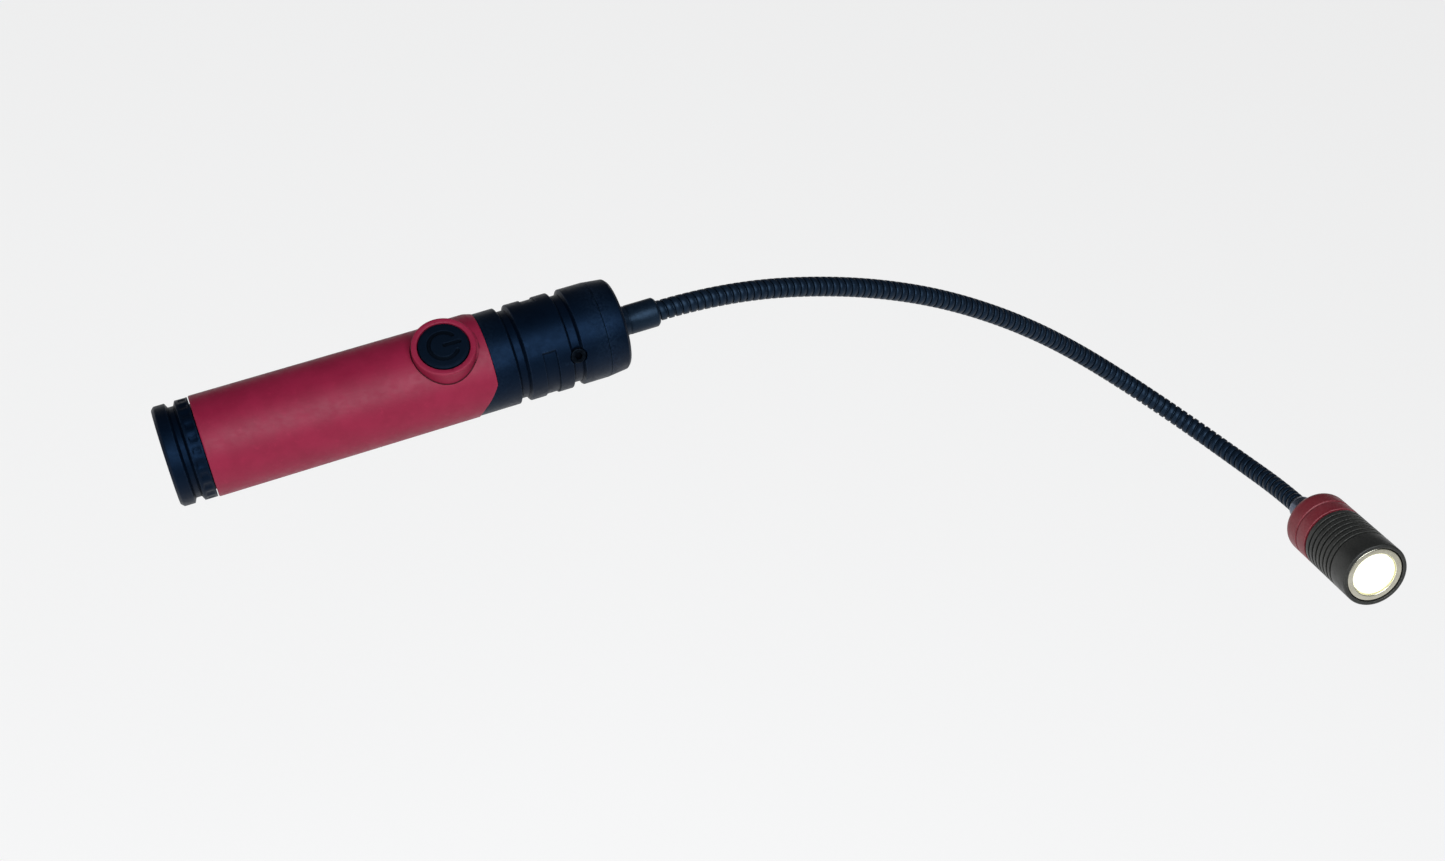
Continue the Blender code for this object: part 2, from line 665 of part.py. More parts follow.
def make_tail():
    turned("tail_cap", [
        (TAIL_SPIGOT_END, TAIL_SPIGOT_BORE),
        (TAIL_SPIGOT_END, TAIL_SPIGOT_RADIUS - 0.5 * MM),
        (TAIL_SPIGOT_END - 0.5 * MM, TAIL_SPIGOT_RADIUS),
        (TAIL_SEAL_GROOVE[1], TAIL_SPIGOT_RADIUS),
        (TAIL_SEAL_GROOVE[1], TAIL_SPIGOT_RADIUS - 1.0 * MM),
        (TAIL_SEAL_GROOVE[0], TAIL_SPIGOT_RADIUS - 1.0 * MM),
        (TAIL_SEAL_GROOVE[0], TAIL_SPIGOT_RADIUS),
        (TAIL_END, TAIL_SPIGOT_RADIUS),
        (TAIL_END, COLLAR_RADIUS),
        *groove(TAIL_GROOVE, COLLAR_RADIUS, GROOVE_DEPTH),
        (1.0 * MM, COLLAR_RADIUS),
        (0, COLLAR_RADIUS - 1.0 * MM),
        (0, 0),
        (TAIL_FLOOR, 0),
        (TAIL_FLOOR, TAIL_SPIGOT_BORE),
    ], tail_frame, BLACK)
    seal_ring("tail_seal", sum(TAIL_SEAL_GROOVE) / 2, TAIL_SPIGOT_RADIUS - 0.35 * MM, 0.35 * MM,
              tail_frame)
    coil("tail_spring", 3.9 * MM, 11.4 * MM, 9.0 * MM, 5.0 * MM, 4, 0.5 * MM, tail_frame, SPRING_STEEL)
    turned("tail_contact", [
        (TAIL_CONTACT[1], 0),
        (TAIL_CONTACT[1], TAIL_CONTACT_RADIUS - 0.4 * MM),
        (TAIL_CONTACT[1] - 0.4 * MM, TAIL_CONTACT_RADIUS),
        (TAIL_CONTACT[0], TAIL_CONTACT_RADIUS),
        (TAIL_CONTACT[0], 0),
    ], tail_frame, SPRING_STEEL, SMALL)


# ---------------------------------------------------------------- neck

def cone_end(joint_x, inward):
    """Both radii of a link's coned end, which clears its neighbour at the sharpest bend."""
    slope = tan(MAX_BEND / 2 + radians(1.5))
    clear = GAP / 2
    outer = (joint_x + inward * (clear + slope * NECK_RADIUS), NECK_RADIUS)
    inner = (joint_x + inward * (clear + slope * NECK_BORE), NECK_BORE)
    return outer, inner


def make_link(name, frame, start, end):
    """A tube from start to end; None stands for a joint, where the end is coned."""
    if end is None:
        front_outer, front_inner = cone_end(LINK if frame in neck_joints else
                                            SOCKET_MOUTH + LINK / 2, -1)
    else:
        front_outer, front_inner = (end, NECK_RADIUS), (end, NECK_BORE)
    if start is None:
        back_outer, back_inner = cone_end(0, 1)
    else:
        back_outer, back_inner = (start, NECK_RADIUS), (start, NECK_BORE)
    outline = [front_inner, front_outer, back_outer, back_inner]
    return turned(name, outline, frame, NECK_STEEL, SMALL)


def make_neck():
    make_link("neck_root", tool, SOCKET_STOP + GAP, None)
    for number, joint in enumerate(neck_joints[:-1], start=1):
        make_link(f"neck_link_{number:02d}", joint, None, None)
        wire(f"neck_lead_{number:02d}", [(1.0 * MM, 0, 0), (LINK - 1.0 * MM, 0, 0)], LEAD_RADIUS,
             joint, LEAD_JACKET, resolution=1)
    make_link("neck_tip", neck_joints[-1], None, LINK / 2 + 6 * MM)


# ---------------------------------------------------------------- head

def make_head_ferrule():
    turned("head_ferrule", [
        (13.0 * MM, LEAD_HOLE),
        (13.0 * MM, 4.2 * MM),
        (FERRULE_LENGTH, 4.2 * MM),
        (FERRULE_LENGTH, 5.8 * MM),
        (8.4 * MM, 5.8 * MM),
        (6.4 * MM, 4.9 * MM),
        (0.5 * MM, 4.3 * MM),
        (0, SOCKET_BORE + 0.2 * MM),
        (0, SOCKET_BORE),
        (6.5 * MM, SOCKET_BORE),
        (6.5 * MM, LEAD_HOLE),
    ], head, BRIGHT_STEEL, MEDIUM)


def make_head_cap():
    rounding = quarter(CAP_BACK + CAP_ROUNDING, HEAD_RADIUS - CAP_ROUNDING, CAP_ROUNDING, -1)
    turned("head_cap", [
        (CAP_FRONT, CAP_SOCKET_RADIUS),
        (CAP_FRONT, HEAD_RADIUS),
        *groove(CAP_LINE, HEAD_RADIUS, CAP_LINE_DEPTH),
        *reversed(rounding),
        (CAP_BACK, 4.5 * MM),
        (CAP_SOCKET_FLOOR, 4.5 * MM),
        (CAP_SOCKET_FLOOR, CAP_SOCKET_RADIUS),
    ], head, RED_METAL)
    seal_ring("head_seal", sum(HEAD_SEAL_GROOVE) / 2, BARREL_SPIGOT_RADIUS - 0.25 * MM, 0.25 * MM,
              head)


def fins():
    """The cooling grooves behind the nose, from the front one back."""
    points = []
    for number in reversed(range(FIN_COUNT)):
        back = FIN_START + number * FIN_PITCH
        front = back + FIN_GROOVE
        points += [(front, HEAD_RADIUS), (front, HEAD_RADIUS - FIN_DEPTH),
                   (back, HEAD_RADIUS - FIN_DEPTH), (back, HEAD_RADIUS)]
    return points


def make_head_barrel():
    rim = quarter(BARREL_FRONT - BARREL_ROUNDING, HEAD_RADIUS - BARREL_ROUNDING, BARREL_ROUNDING, 1)
    turned("head_barrel", [
        (BARREL_FRONT, NOSE_BORE),
        *rim,
        *fins(),
        (BARREL_SHOULDER, HEAD_RADIUS),
        (BARREL_SHOULDER, HEAD_RADIUS - FIN_DEPTH),
        (BARREL_BACK, HEAD_RADIUS - FIN_DEPTH),
        (BARREL_BACK, BARREL_SPIGOT_RADIUS),
        (HEAD_SEAL_GROOVE[1], BARREL_SPIGOT_RADIUS),
        (HEAD_SEAL_GROOVE[1], BARREL_SPIGOT_RADIUS - 0.8 * MM),
        (HEAD_SEAL_GROOVE[0], BARREL_SPIGOT_RADIUS - 0.8 * MM),
        (HEAD_SEAL_GROOVE[0], BARREL_SPIGOT_RADIUS),
        (BARREL_SPIGOT_BACK, BARREL_SPIGOT_RADIUS),
        (BARREL_SPIGOT_BACK, WIRING_BORE),
        (BULKHEAD[0], WIRING_BORE),
        (BULKHEAD[0], LEAD_HOLE),
        (BULKHEAD[1], LEAD_HOLE),
        (BULKHEAD[1], LAMP_BORE),
        (GASKET_SEAT, LAMP_BORE),
        (GASKET_SEAT, NOSE_BORE),
    ], head, BLACK_METAL)


def make_lamp():
    outer = LAMP_BORE - GAP
    turned("led_board", [
        (LED_BOARD[1], 0),
        (LED_BOARD[1], outer),
        (LED_BOARD[0], outer),
        (LED_BOARD[0], 0),
    ], head, BOARD, MEDIUM)
    block("led_emitter", (EMITTER[0], -EMITTER_HALF, -EMITTER_HALF),
          (EMITTER[1], EMITTER_HALF, EMITTER_HALF), head, PHOSPHOR)
    depth = REFLECTOR_FRONT - REFLECTOR_BACK
    bowl = [(REFLECTOR_BACK + depth * (share / 4) ** 2, (3.9 + share) * MM) for share in range(5)]
    turned("reflector", [
        (REFLECTOR_FRONT, outer),
        (REFLECTOR_FRONT - 1.2 * MM, outer),
        (REFLECTOR_BACK, 5.2 * MM),
        *bowl,
    ], head, MIRROR, MEDIUM)
    inner = LENS_RADIUS + 0.2 * MM
    turned("lens_gasket", [
        (LENS_BACK - GAP, inner),
        (LENS_BACK - GAP, MAGNET_RADII[1]),
        (GASKET_SEAT + GAP, MAGNET_RADII[1]),
        (GASKET_SEAT + GAP, inner),
    ], head, RUBBER, MEDIUM)
    crown = [(LENS_EDGE + LENS_CROWN * sqrt(1 - (share / 4) ** 2), LENS_RADIUS * share / 4)
             for share in range(5)]
    turned("lens", [
        *crown,
        (LENS_BACK, LENS_RADIUS),
        (LENS_BACK, 0),
    ], head, LENS, MEDIUM)
    turned("nose_magnet", [
        (MAGNET_FRONT, MAGNET_RADII[0]),
        (MAGNET_FRONT, MAGNET_RADII[1]),
        (LENS_BACK, MAGNET_RADII[1]),
        (LENS_BACK, MAGNET_RADII[0]),
    ], head, MAGNET)
    wire("head_lead", [
        (-LINK / 2 + 1.0 * MM, 0, 0),
        (12 * MM, 0, 0),
        (16 * MM, 0, 0.8 * MM),
        (20 * MM, 0, 2.6 * MM),
        (24 * MM, 0, 2.8 * MM),
        (28 * MM, 0, 1.0 * MM),
        (31 * MM, 0, 0),
        (34.0 * MM, 0, 0),
    ], LEAD_RADIUS, head, LEAD_JACKET)


# ---------------------------------------------------------------- lay the tool on the ground

def apply_modifiers():
    """Give each part the shape that its modifiers make, shaded smooth between its sharp edges."""
    bpy.context.view_layer.update()
    graph = bpy.context.evaluated_depsgraph_get()
    shaped = [obj for obj in parts.objects if obj.type == "MESH"]
    meshes = [bpy.data.meshes.new_from_object(obj.evaluated_get(graph)) for obj in shaped]
    for obj, mesh in zip(shaped, meshes):
        obj.modifiers.clear()
        obj.data = mesh
        smooth(mesh)


def lay_on_ground():
    """Move the tool so that it rests on z = 0 with the origin under the middle of its box."""
    bpy.context.view_layer.update()
    graph = bpy.context.evaluated_depsgraph_get()
    low = Vector((1, 1, 1))
    high = Vector((-1, -1, -1))
    for obj in parts.objects:
        if obj.type != "MESH":
            continue
        shape = obj.evaluated_get(graph)
        for vertex in shape.data.vertices:
            at = obj.matrix_world @ vertex.co
            low = Vector(map(min, low, at))
            high = Vector(map(max, high, at))
    tool.location = (-(low.x + high.x) / 2, -(low.y + high.y) / 2, -low.z)


make_handle_body()
make_collar()
make_collar_screws()
make_front_ring()
make_neck_socket()
make_button()
make_electronics()
make_batteries()
make_tail()
make_neck()
make_head_ferrule()
make_head_cap()
make_head_barrel()
make_lamp()
lay_on_ground()
apply_modifiers()
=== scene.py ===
"""Looks of the flexible inspection light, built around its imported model.  Metres, +Z up.

Sizes are in millimetres and become metres when a mesh is made.  Handle pieces are drawn along the
handle's own axes: +X from the tail to the neck, +Z on the power button's side. Head pieces are
drawn along the head's axes: +X from the ferrule to the lens.  The neck follows arcs between the
middles of its links, so that it bends as one hose.
"""

import json
from math import asin, atan2, cos, hypot, pi, radians, sin, tan

import bmesh
import bpy
import numpy as np
from mathutils import Matrix, Vector


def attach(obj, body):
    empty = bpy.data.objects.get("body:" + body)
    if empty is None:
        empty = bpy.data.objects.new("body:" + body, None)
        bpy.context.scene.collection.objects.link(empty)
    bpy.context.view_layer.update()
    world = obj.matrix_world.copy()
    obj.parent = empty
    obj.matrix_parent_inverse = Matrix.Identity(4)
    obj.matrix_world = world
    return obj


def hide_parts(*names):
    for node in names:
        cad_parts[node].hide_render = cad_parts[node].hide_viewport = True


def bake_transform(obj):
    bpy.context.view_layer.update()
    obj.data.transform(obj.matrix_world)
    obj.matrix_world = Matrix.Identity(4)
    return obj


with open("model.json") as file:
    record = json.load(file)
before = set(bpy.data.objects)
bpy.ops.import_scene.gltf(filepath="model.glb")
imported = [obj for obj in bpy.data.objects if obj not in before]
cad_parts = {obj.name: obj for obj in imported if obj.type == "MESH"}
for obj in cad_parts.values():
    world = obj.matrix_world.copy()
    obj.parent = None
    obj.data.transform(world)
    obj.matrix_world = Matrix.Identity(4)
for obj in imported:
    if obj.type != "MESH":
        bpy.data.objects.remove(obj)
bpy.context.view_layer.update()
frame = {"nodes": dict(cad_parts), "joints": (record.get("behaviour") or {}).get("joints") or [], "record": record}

MM = 0.001
GAP = 0.3

# Handle, measured along its axis from the tail face.
TAIL_END = 11.5
TAIL_GROOVE = (4.4, 7.5, 0.7)
TAIL_SPIGOT = 13.9
TAIL_BORE = 11.9
GRIP_FLUTES = 24
FLUTE_DEPTH = 0.35
BODY_RADIUS = 16.5
BODY_BORE = 14.3
JUNCTION_HEIGHTS = (-3.5, 0.6, 9.2)
JUNCTION_XS = (97.5, 99.0, 104.1)
SEAM = 0.12
SPIGOT_RADIUS = 13.4
SPIGOT_BORE = 11.9
SPIGOT_BACK = 85.0
SPIGOT_FRONT = 133.7
COLLAR_RADIUS = 16.25
COLLAR_BORE = 13.7
COLLAR_FRONT = 142.45
WEB = (134.0, 137.0)
WEB_HOLE = 6.5
FRONT_SOCKET = 11.2
REAR_GROOVE = (111.4, 115.4, 0.8)
FRONT_GROOVE = (129.6, 133.8, 0.7)
GROOVE_DEPTH = 1.5
RECESS = (120.3, 124.9)
RECESS_DEPTH = 0.5
RECESS_LAND = radians(37)
LAND_SHARPNESS = 60
SCREW_X = 131.8
SCREW_ANGLES = {"left": radians(52), "right": radians(232)}
HANDLE_LENGTH = 150.0
SOCKET_MOUTH = 164.5
SOCKET_RADIUS = 5.0
SOCKET_BORE = 3.8

# Power button, on its own axis across the handle.
BUTTON_X = 90.7
BUTTON_RADIUS = 8.1
BUTTON_TOP = 19.2
BUTTON_FLANGE = 8.8
BUTTON_BOTTOM = 12.0
BOSS_RADIUS = 10.3
BOSS_TOP = 19.0
BOSS_FILLET = 0.3
CREASE_DEPTH = 0.35
SWELL = 0.6
SWELL_RISE = (90.0, 95.0)
SWELL_FALL = (101.4, 103.8)
SWELL_ROUND = ((0.0, 0.4), (1.9, 2.5))
BOSS_BROW = 0.5
BOSS_FADE = (0.70, 1.0)
SYMBOL_RADIUS = 4.7
SYMBOL_STROKE = 1.15
SYMBOL_DEPTH = 0.38
SYMBOL_GAP = radians(38)
BUTTON_CROWN = 0.28
DISH_ROWS = 61

# Neck: a broad wire with a narrow, lower wire between its turns.
NECK_RADIUS = 3.5
NECK_BORE = 1.6
NECK_ROOT_BACK = 141.3
NECK_TIP_LENGTH = 6.0
NECK_SIDES = 44
NECK_WELD = 0.001
RIB_PITCH = 2.69
RIB_CROWN = 0.80
LEAD_RADIUS = 0.95
LEAD_HOLE = 2.2
LEAD_SIDES = 16
STOP_STEPS = 6
LINKS = 11
PATH_ROWS = 13

# Head, measured along its axis from the end of the neck.
HEAD_RADIUS = 11.8
FERRULE_LENGTH = 10.0
CAP_BACK = 10.3
CAP_FRONT = 24.7
CAP_LINE = (18.3, 19.3)
CAP_LINE_DEPTH = 0.4
BARREL_BACK = 24.85
BARREL_SHOULDER = 25.8
BARREL_FRONT = 51.7
FIN_COUNT = 7
FIN_START = 27.4
FIN_PITCH = 2.42
FIN_GROOVE = 0.9
FIN_DEPTH = 0.8
NOSE_BORE = 10.4
LENS_RADIUS = 7.7
LENS_BACK = 47.5
LENS_EDGE = 50.6
LENS_CROWN = 0.7
MAGNET_RADII = (8.0, 10.1)
MAGNET_FRONT = 51.3
GASKET = (46.6, 47.2)
GASKET_SEAT = 46.3
LAMP_BORE = 9.3
WIRING_BORE = 7.4
BULKHEAD = (32.0, 34.0)
BARREL_SPIGOT = (20.2, 9.2)
HEAD_SEAL = (21.5, 22.9, 8.4)
EMITTER = (36.1, 36.7)
EMITTER_HALF = 2.5
MIRROR_BACK = 38.0
MIRROR_DEPTH = 8.0

# Where the camera stands, in the handle's axes, and how it looks.
EYE = (15.1, -271.0, 527.8)
LOOK = (0.2590, 0.3751, -0.8901)
IMAGE_RIGHT = (0.9200, -0.3763, 0.1092)
LENS_LENGTH = 45.37
SENSOR_WIDTH = 36.0
TOOL_DISTANCE = 0.62

# Studio: lights are (right, up, back) of the middle of the tool as the camera sees it, in metres.
FLOOR_HEIGHT = -0.35
FLOOR_REACH = 15.0
FLOOR_THICKNESS = 0.02
FLOOR_COLOUR = (0.20, 0.20, 0.20)
FLOOR_GLOW = 0.804
WORLD_COLOUR = (0.93, 0.96, 1.0)
WORLD_STRENGTH = 0.09
STUDIO_LIGHTS = (
    ("key", (0.30, 0.12, 1.00), (0.9, 0.8), 13.5, (0.92, 0.96, 1.0)),
    ("fill", (-0.70, -0.30, 1.00), (0.8, 0.8), 3.0, (1.0, 1.0, 1.0)),
)


# ---- frames

def axes(origin, x_axis, z_hint):
    """A frame from its origin, its X axis and a direction near its Z axis."""
    x = Vector(x_axis).normalized()
    y = Vector(z_hint).cross(x).normalized()
    matrix = Matrix((x, y, x.cross(y))).transposed().to_4x4()
    matrix.translation = origin
    return matrix


def column(matrix, index):
    return matrix.to_3x3().col[index].copy()


joints = {joint["name"]: joint for joint in frame["joints"]}
mounts = {mount["name"]: mount for mount in frame["record"]["mounts"]}
bends = [Vector(joints[f"neck_bend_{number:02d}"]["pos_m"]) for number in range(1, LINKS + 2)]

handle = axes(joints["tail_turn"]["pos_m"], -Vector(joints["tail_turn"]["axis"]),
              -Vector(joints["button_press"]["axis"]))
button = handle @ Matrix.Translation((BUTTON_X * MM, 0, 0)) @ Matrix.Rotation(-pi / 2, 4, "Y")
half_link = (bends[1] - bends[0]).length / 2
headings = [column(handle, 0)]
headings += [(after - before).normalized() for before, after in zip(bends, bends[1:])]
headings.append(Vector(mounts["magnet_face"]["axis"]).normalized())
neck_end = bends[-1] + headings[-1] * half_link
head = axes(neck_end, headings[-1], (0, 0, 1))


class Stretch:
    """A stretch of neck: an arc tangent to its first and last heading, as long as two reaches."""

    def __init__(self, start, heading, last_heading, reach, normal, before):
        self.start = np.array(start)
        self.heading = np.array(heading)
        self.angle = heading.angle(last_heading)
        turn = heading.cross(last_heading)
        self.axis = np.array(turn.normalized() if self.angle > 1e-5 else normal)
        self.inward = np.cross(self.axis, self.heading)
        self.radius = reach / tan(self.angle / 2) if self.angle > 1e-5 else 0.0
        self.length = self.radius * self.angle if self.radius else 2 * reach
        self.parts = (float(np.dot(normal, self.inward)), float(np.dot(normal, self.axis)))
        self.before = before

    def points(self, along, around, reach):
        """Points at these lengths from the start, at these angles and distances from the middle."""
        along, around, reach = np.broadcast_arrays(along, around, reach)
        if self.radius:
            turn = along[..., None] / self.radius
            middle = self.start + self.radius * (np.sin(turn) * self.heading
                                                 + (1 - np.cos(turn)) * self.inward)
        else:
            turn = np.zeros(along.shape + (1,))
            middle = self.start + along[..., None] * self.heading
        inward = np.cos(turn) * self.inward - np.sin(turn) * self.heading
        first = self.parts[0] * inward + self.parts[1] * self.axis
        second = self.parts[0] * self.axis - self.parts[1] * inward
        spoke = np.cos(around)[..., None] * first + np.sin(around)[..., None] * second
        return middle + reach[..., None] * spoke

    def end(self):
        """The middle point and the carried normal at the end."""
        middle = self.points(self.length, 0.0, 0.0)
        tip = self.points(self.length, 0.0, 1.0)
        return Vector(middle), Vector(tip - middle).normalized()


def neck_stretches():
    """The neck from inside its socket to inside the head: straight, twelve arcs, straight."""
    normal = column(handle, 2)
    ahead = headings[0]
    mouth = bends[0] - ahead * half_link
    root = (SOCKET_MOUTH - NECK_ROOT_BACK) * MM
    found = [Stretch(mouth - ahead * root, ahead, ahead, root / 2, normal, -root)]
    start = mouth
    before = 0.0
    for here, there in zip(headings, headings[1:]):
        arc = Stretch(start, here, there, half_link, normal, before)
        before += arc.length
        start, normal = arc.end()
        found.append(arc)
    found.append(Stretch(start, headings[-1], headings[-1], NECK_TIP_LENGTH * MM / 2, normal,
                         before))
    return found


stretches = neck_stretches()


# ---- mesh helpers

def link_object(name, data, matrix):
    obj = bpy.data.objects.new(name, data)
    obj.matrix_world = matrix
    bpy.context.scene.collection.objects.link(obj)
    return obj


def store(mesh, label, values):
    """Keep a number, or a place in millimetres, with each point of a mesh."""
    values = np.asarray(values, np.float32)
    kind, field = ("FLOAT", "value") if values.ndim == 1 else ("FLOAT_VECTOR", "vector")
    mesh.attributes.new(label, kind, "POINT").data.foreach_set(field, values.ravel())


def read(data, field, width=3):
    """One field of each point or edge of a mesh, as an array."""
    values = np.zeros(len(data) * width, int if field == "vertices" else float)
    data.foreach_get(field, values)
    return values.reshape(-1, width)


def solid(name, points, faces, matrix, weld=0.002, places=None):
    """A closed mesh in metres with near points welded (millimetres) and faces turned outwards."""
    mesh = bpy.data.meshes.new(name)
    mesh.from_pydata([tuple(point) for point in points], [], faces)
    if places is not None:
        store(mesh, "place", places)
    shape = bmesh.new()
    shape.from_mesh(mesh)
    bmesh.ops.remove_doubles(shape, verts=shape.verts, dist=weld * MM)
    bmesh.ops.recalc_face_normals(shape, faces=shape.faces)
    shape.to_mesh(mesh)
    shape.free()
    return link_object(name, mesh, matrix)


def rounded(profile, steps):
    """The closed profile with its corners eased; a point is (x, radius) or (x, radius, easing)."""
    eased = []
    count = len(profile)
    for i, corner in enumerate(profile):
        x, radius = corner[:2]
        size = corner[2] if len(corner) > 2 else 0.0
        if size <= 0:
            eased.append((x, radius))
            continue
        before = profile[i - 1]
        after = profile[(i + 1) % count]
        back = (before[0] - x, before[1] - radius)
        ahead = (after[0] - x, after[1] - radius)
        size = min(size, 0.48 * hypot(*back), 0.48 * hypot(*ahead))
        back = tuple(size * part / hypot(*back) for part in back)
        ahead = tuple(size * part / hypot(*ahead) for part in ahead)
        for step in range(steps + 1):
            share = step / steps
            eased.append((x + (1 - share) ** 2 * back[0] + share ** 2 * ahead[0],
                          radius + (1 - share) ** 2 * back[1] + share ** 2 * ahead[1]))
    return eased


def even_angles(sides):
    return [2 * pi * side / sides for side in range(sides)]


def ring_grid(profile_at, angles, steps=4):
    """Points of a profile turned about X, in metres, as an array of [row, angle, xyz]."""
    rows = np.array([[(x, radius * sin(angle), radius * cos(angle))
                      for x, radius in rounded(profile_at(angle), steps)]
                     for angle in angles])
    return rows.transpose(1, 0, 2) * MM


def grid_faces(rows, columns, closed_rows=True, skip=None):
    """Quads of a grid that closes round its columns and, if asked, round its rows."""
    faces = []
    for row in range(rows if closed_rows else rows - 1):
        following = (row + 1) % rows
        for side in range(columns):
            if skip and skip(row, side):
                continue
            other = (side + 1) % columns
            faces.append((row * columns + side, row * columns + other,
                          following * columns + other, following * columns + side))
    return faces


def turned(name, profile, matrix, sides=96, steps=4, angles=None):
    """A profile, or a function of the angle, turned about X with its corners eased."""
    angles = angles or even_angles(sides)
    profile_at = profile if callable(profile) else (lambda angle: profile)
    grid = ring_grid(profile_at, angles, steps)
    rows, columns = grid.shape[:2]
    on_axis = bool(np.abs(grid[0, :, 1:]).max() < 1e-9)
    faces = grid_faces(rows, columns, closed_rows=not on_axis)
    return solid(name, grid.reshape(-1, 3), faces, matrix)


def carve(obj, cutter):
    """Cut the cutter out of the object and remove the cutter."""
    change = obj.modifiers.new("carve", "BOOLEAN")
    change.operation = "DIFFERENCE"
    change.solver = "EXACT"
    change.object = cutter
    bpy.context.view_layer.update()
    graph = bpy.context.evaluated_depsgraph_get()
    mesh = bpy.data.meshes.new_from_object(obj.evaluated_get(graph))
    obj.modifiers.clear()
    obj.data = mesh
    bpy.data.objects.remove(cutter, do_unlink=True)


def mark_shape(mesh, reach):
    """Store how far each point stands out (edge) or lies in a hollow, and its own place."""
    count = len(mesh.vertices)
    at = read(mesh.vertices, "co")
    normal = read(mesh.vertex_normals, "vector")
    first, second = read(mesh.edges, "vertices", 2).T
    run = at[second] - at[first]
    bend = ((normal[second] - normal[first]) * run).sum(1) / np.maximum((run ** 2).sum(1), 1e-14)
    total = np.bincount(first, bend, count) + np.bincount(second, bend, count)
    share = total / np.maximum(np.bincount(first, minlength=count)
                               + np.bincount(second, minlength=count), 1)
    for label, value in (("edge", share), ("hollow", -share)):
        store(mesh, label, np.clip(value * reach * MM, 0, 1))
    if "place" not in mesh.attributes:
        store(mesh, "place", at / MM)


def finish_piece(obj, body, surface, slot, *nodes, reach=0.5, sharp=40):
    """Shade a piece, give it its material, and let it ride for the CAD nodes it stands for.

    reach is how round, in millimetres, an edge or a hollow may be that still counts: edges get paler with rubbing
    and painted highlight, hollows darker with dirt and painted shade.
    """
    mesh = obj.data
    mesh.shade_smooth()
    mesh.set_sharp_from_angle(angle=radians(sharp))
    mark_shape(mesh, reach)
    mesh.materials.clear()
    mesh.materials.append(surface)
    if body:
        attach(obj, body)
    if nodes:
        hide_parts(*nodes)


# ---- materials

# A wave texture's scale that puts one band on each millimetre.
WAVES = 0.314


class Nodes:
    """A material's node tree with short ways to add what the finishes below are made of."""

    def __init__(self, name, carried=False):
        self.material = bpy.data.materials.new(name)
        self.material.use_nodes = True
        self.tree = self.material.node_tree
        self.shader = self.tree.nodes["Principled BSDF"]
        if carried:
            place = self.add("ShaderNodeTexCoord").outputs["Object"]
            self.place = self.add("ShaderNodeVectorMath", {0: place, "Scale": 1 / MM},
                                  operation="SCALE").outputs[0]
        else:
            self.place = self.attribute("place", "Vector")

    def add(self, kind, inputs=(), **settings):
        node = self.tree.nodes.new(kind)
        for key, value in settings.items():
            setattr(node, key, value)
        for name, value in dict(inputs).items():
            self.join(value, node.inputs[name])
        return node

    def join(self, value, socket):
        if isinstance(value, bpy.types.NodeSocket):
            self.tree.links.new(value, socket)
        else:
            socket.default_value = (*value, 1.0) if socket.type == "RGBA" else value

    def attribute(self, name, output="Fac"):
        return self.add("ShaderNodeAttribute", attribute_name=name).outputs[output]

    def noise(self, scale, detail=3.0, rough=0.55, stretch=None, distortion=0.0):
        """Noise with this many lumps a millimetre, from 0 to 1."""
        place = self.place
        if stretch:
            place = self.add("ShaderNodeVectorMath", {0: place, 1: stretch},
                             operation="MULTIPLY").outputs[0]
        return self.add("ShaderNodeTexNoise", {
            "Vector": place, "Scale": scale, "Detail": detail, "Roughness": rough,
            "Distortion": distortion}).outputs["Fac"]

    def ramp(self, value, low, high, start=0.0, end=1.0, smooth=True):
        """The value, stretched so that low gives start and high gives end."""
        return self.add(
            "ShaderNodeMapRange",
            {"Value": value, "From Min": low, "From Max": high, "To Min": start, "To Max": end},
            interpolation_type="SMOOTHSTEP" if smooth else "LINEAR").outputs["Result"]

    def maths(self, operation, first, second):
        return self.add("ShaderNodeMath", {0: first, 1: second}, operation=operation).outputs[0]

    def product(self, first, second):
        return self.maths("MULTIPLY", first, second)

    def mix(self, share, first, second):
        node = self.add("ShaderNodeMix", data_type="RGBA")
        self.join(share, node.inputs["Factor"])
        self.join(first, node.inputs[6])
        self.join(second, node.inputs[7])
        return node.outputs[2]

    def bump(self, height, distance, strength, under=None):
        node = self.add("ShaderNodeBump", {"Strength": strength, "Distance": distance * MM,
                                           "Height": height})
        if under:
            self.join(under, node.inputs["Normal"])
        return node.outputs["Normal"]

    def set(self, **values):
        for name, value in values.items():
            self.join(value, self.shader.inputs[name.replace("_", " ")])


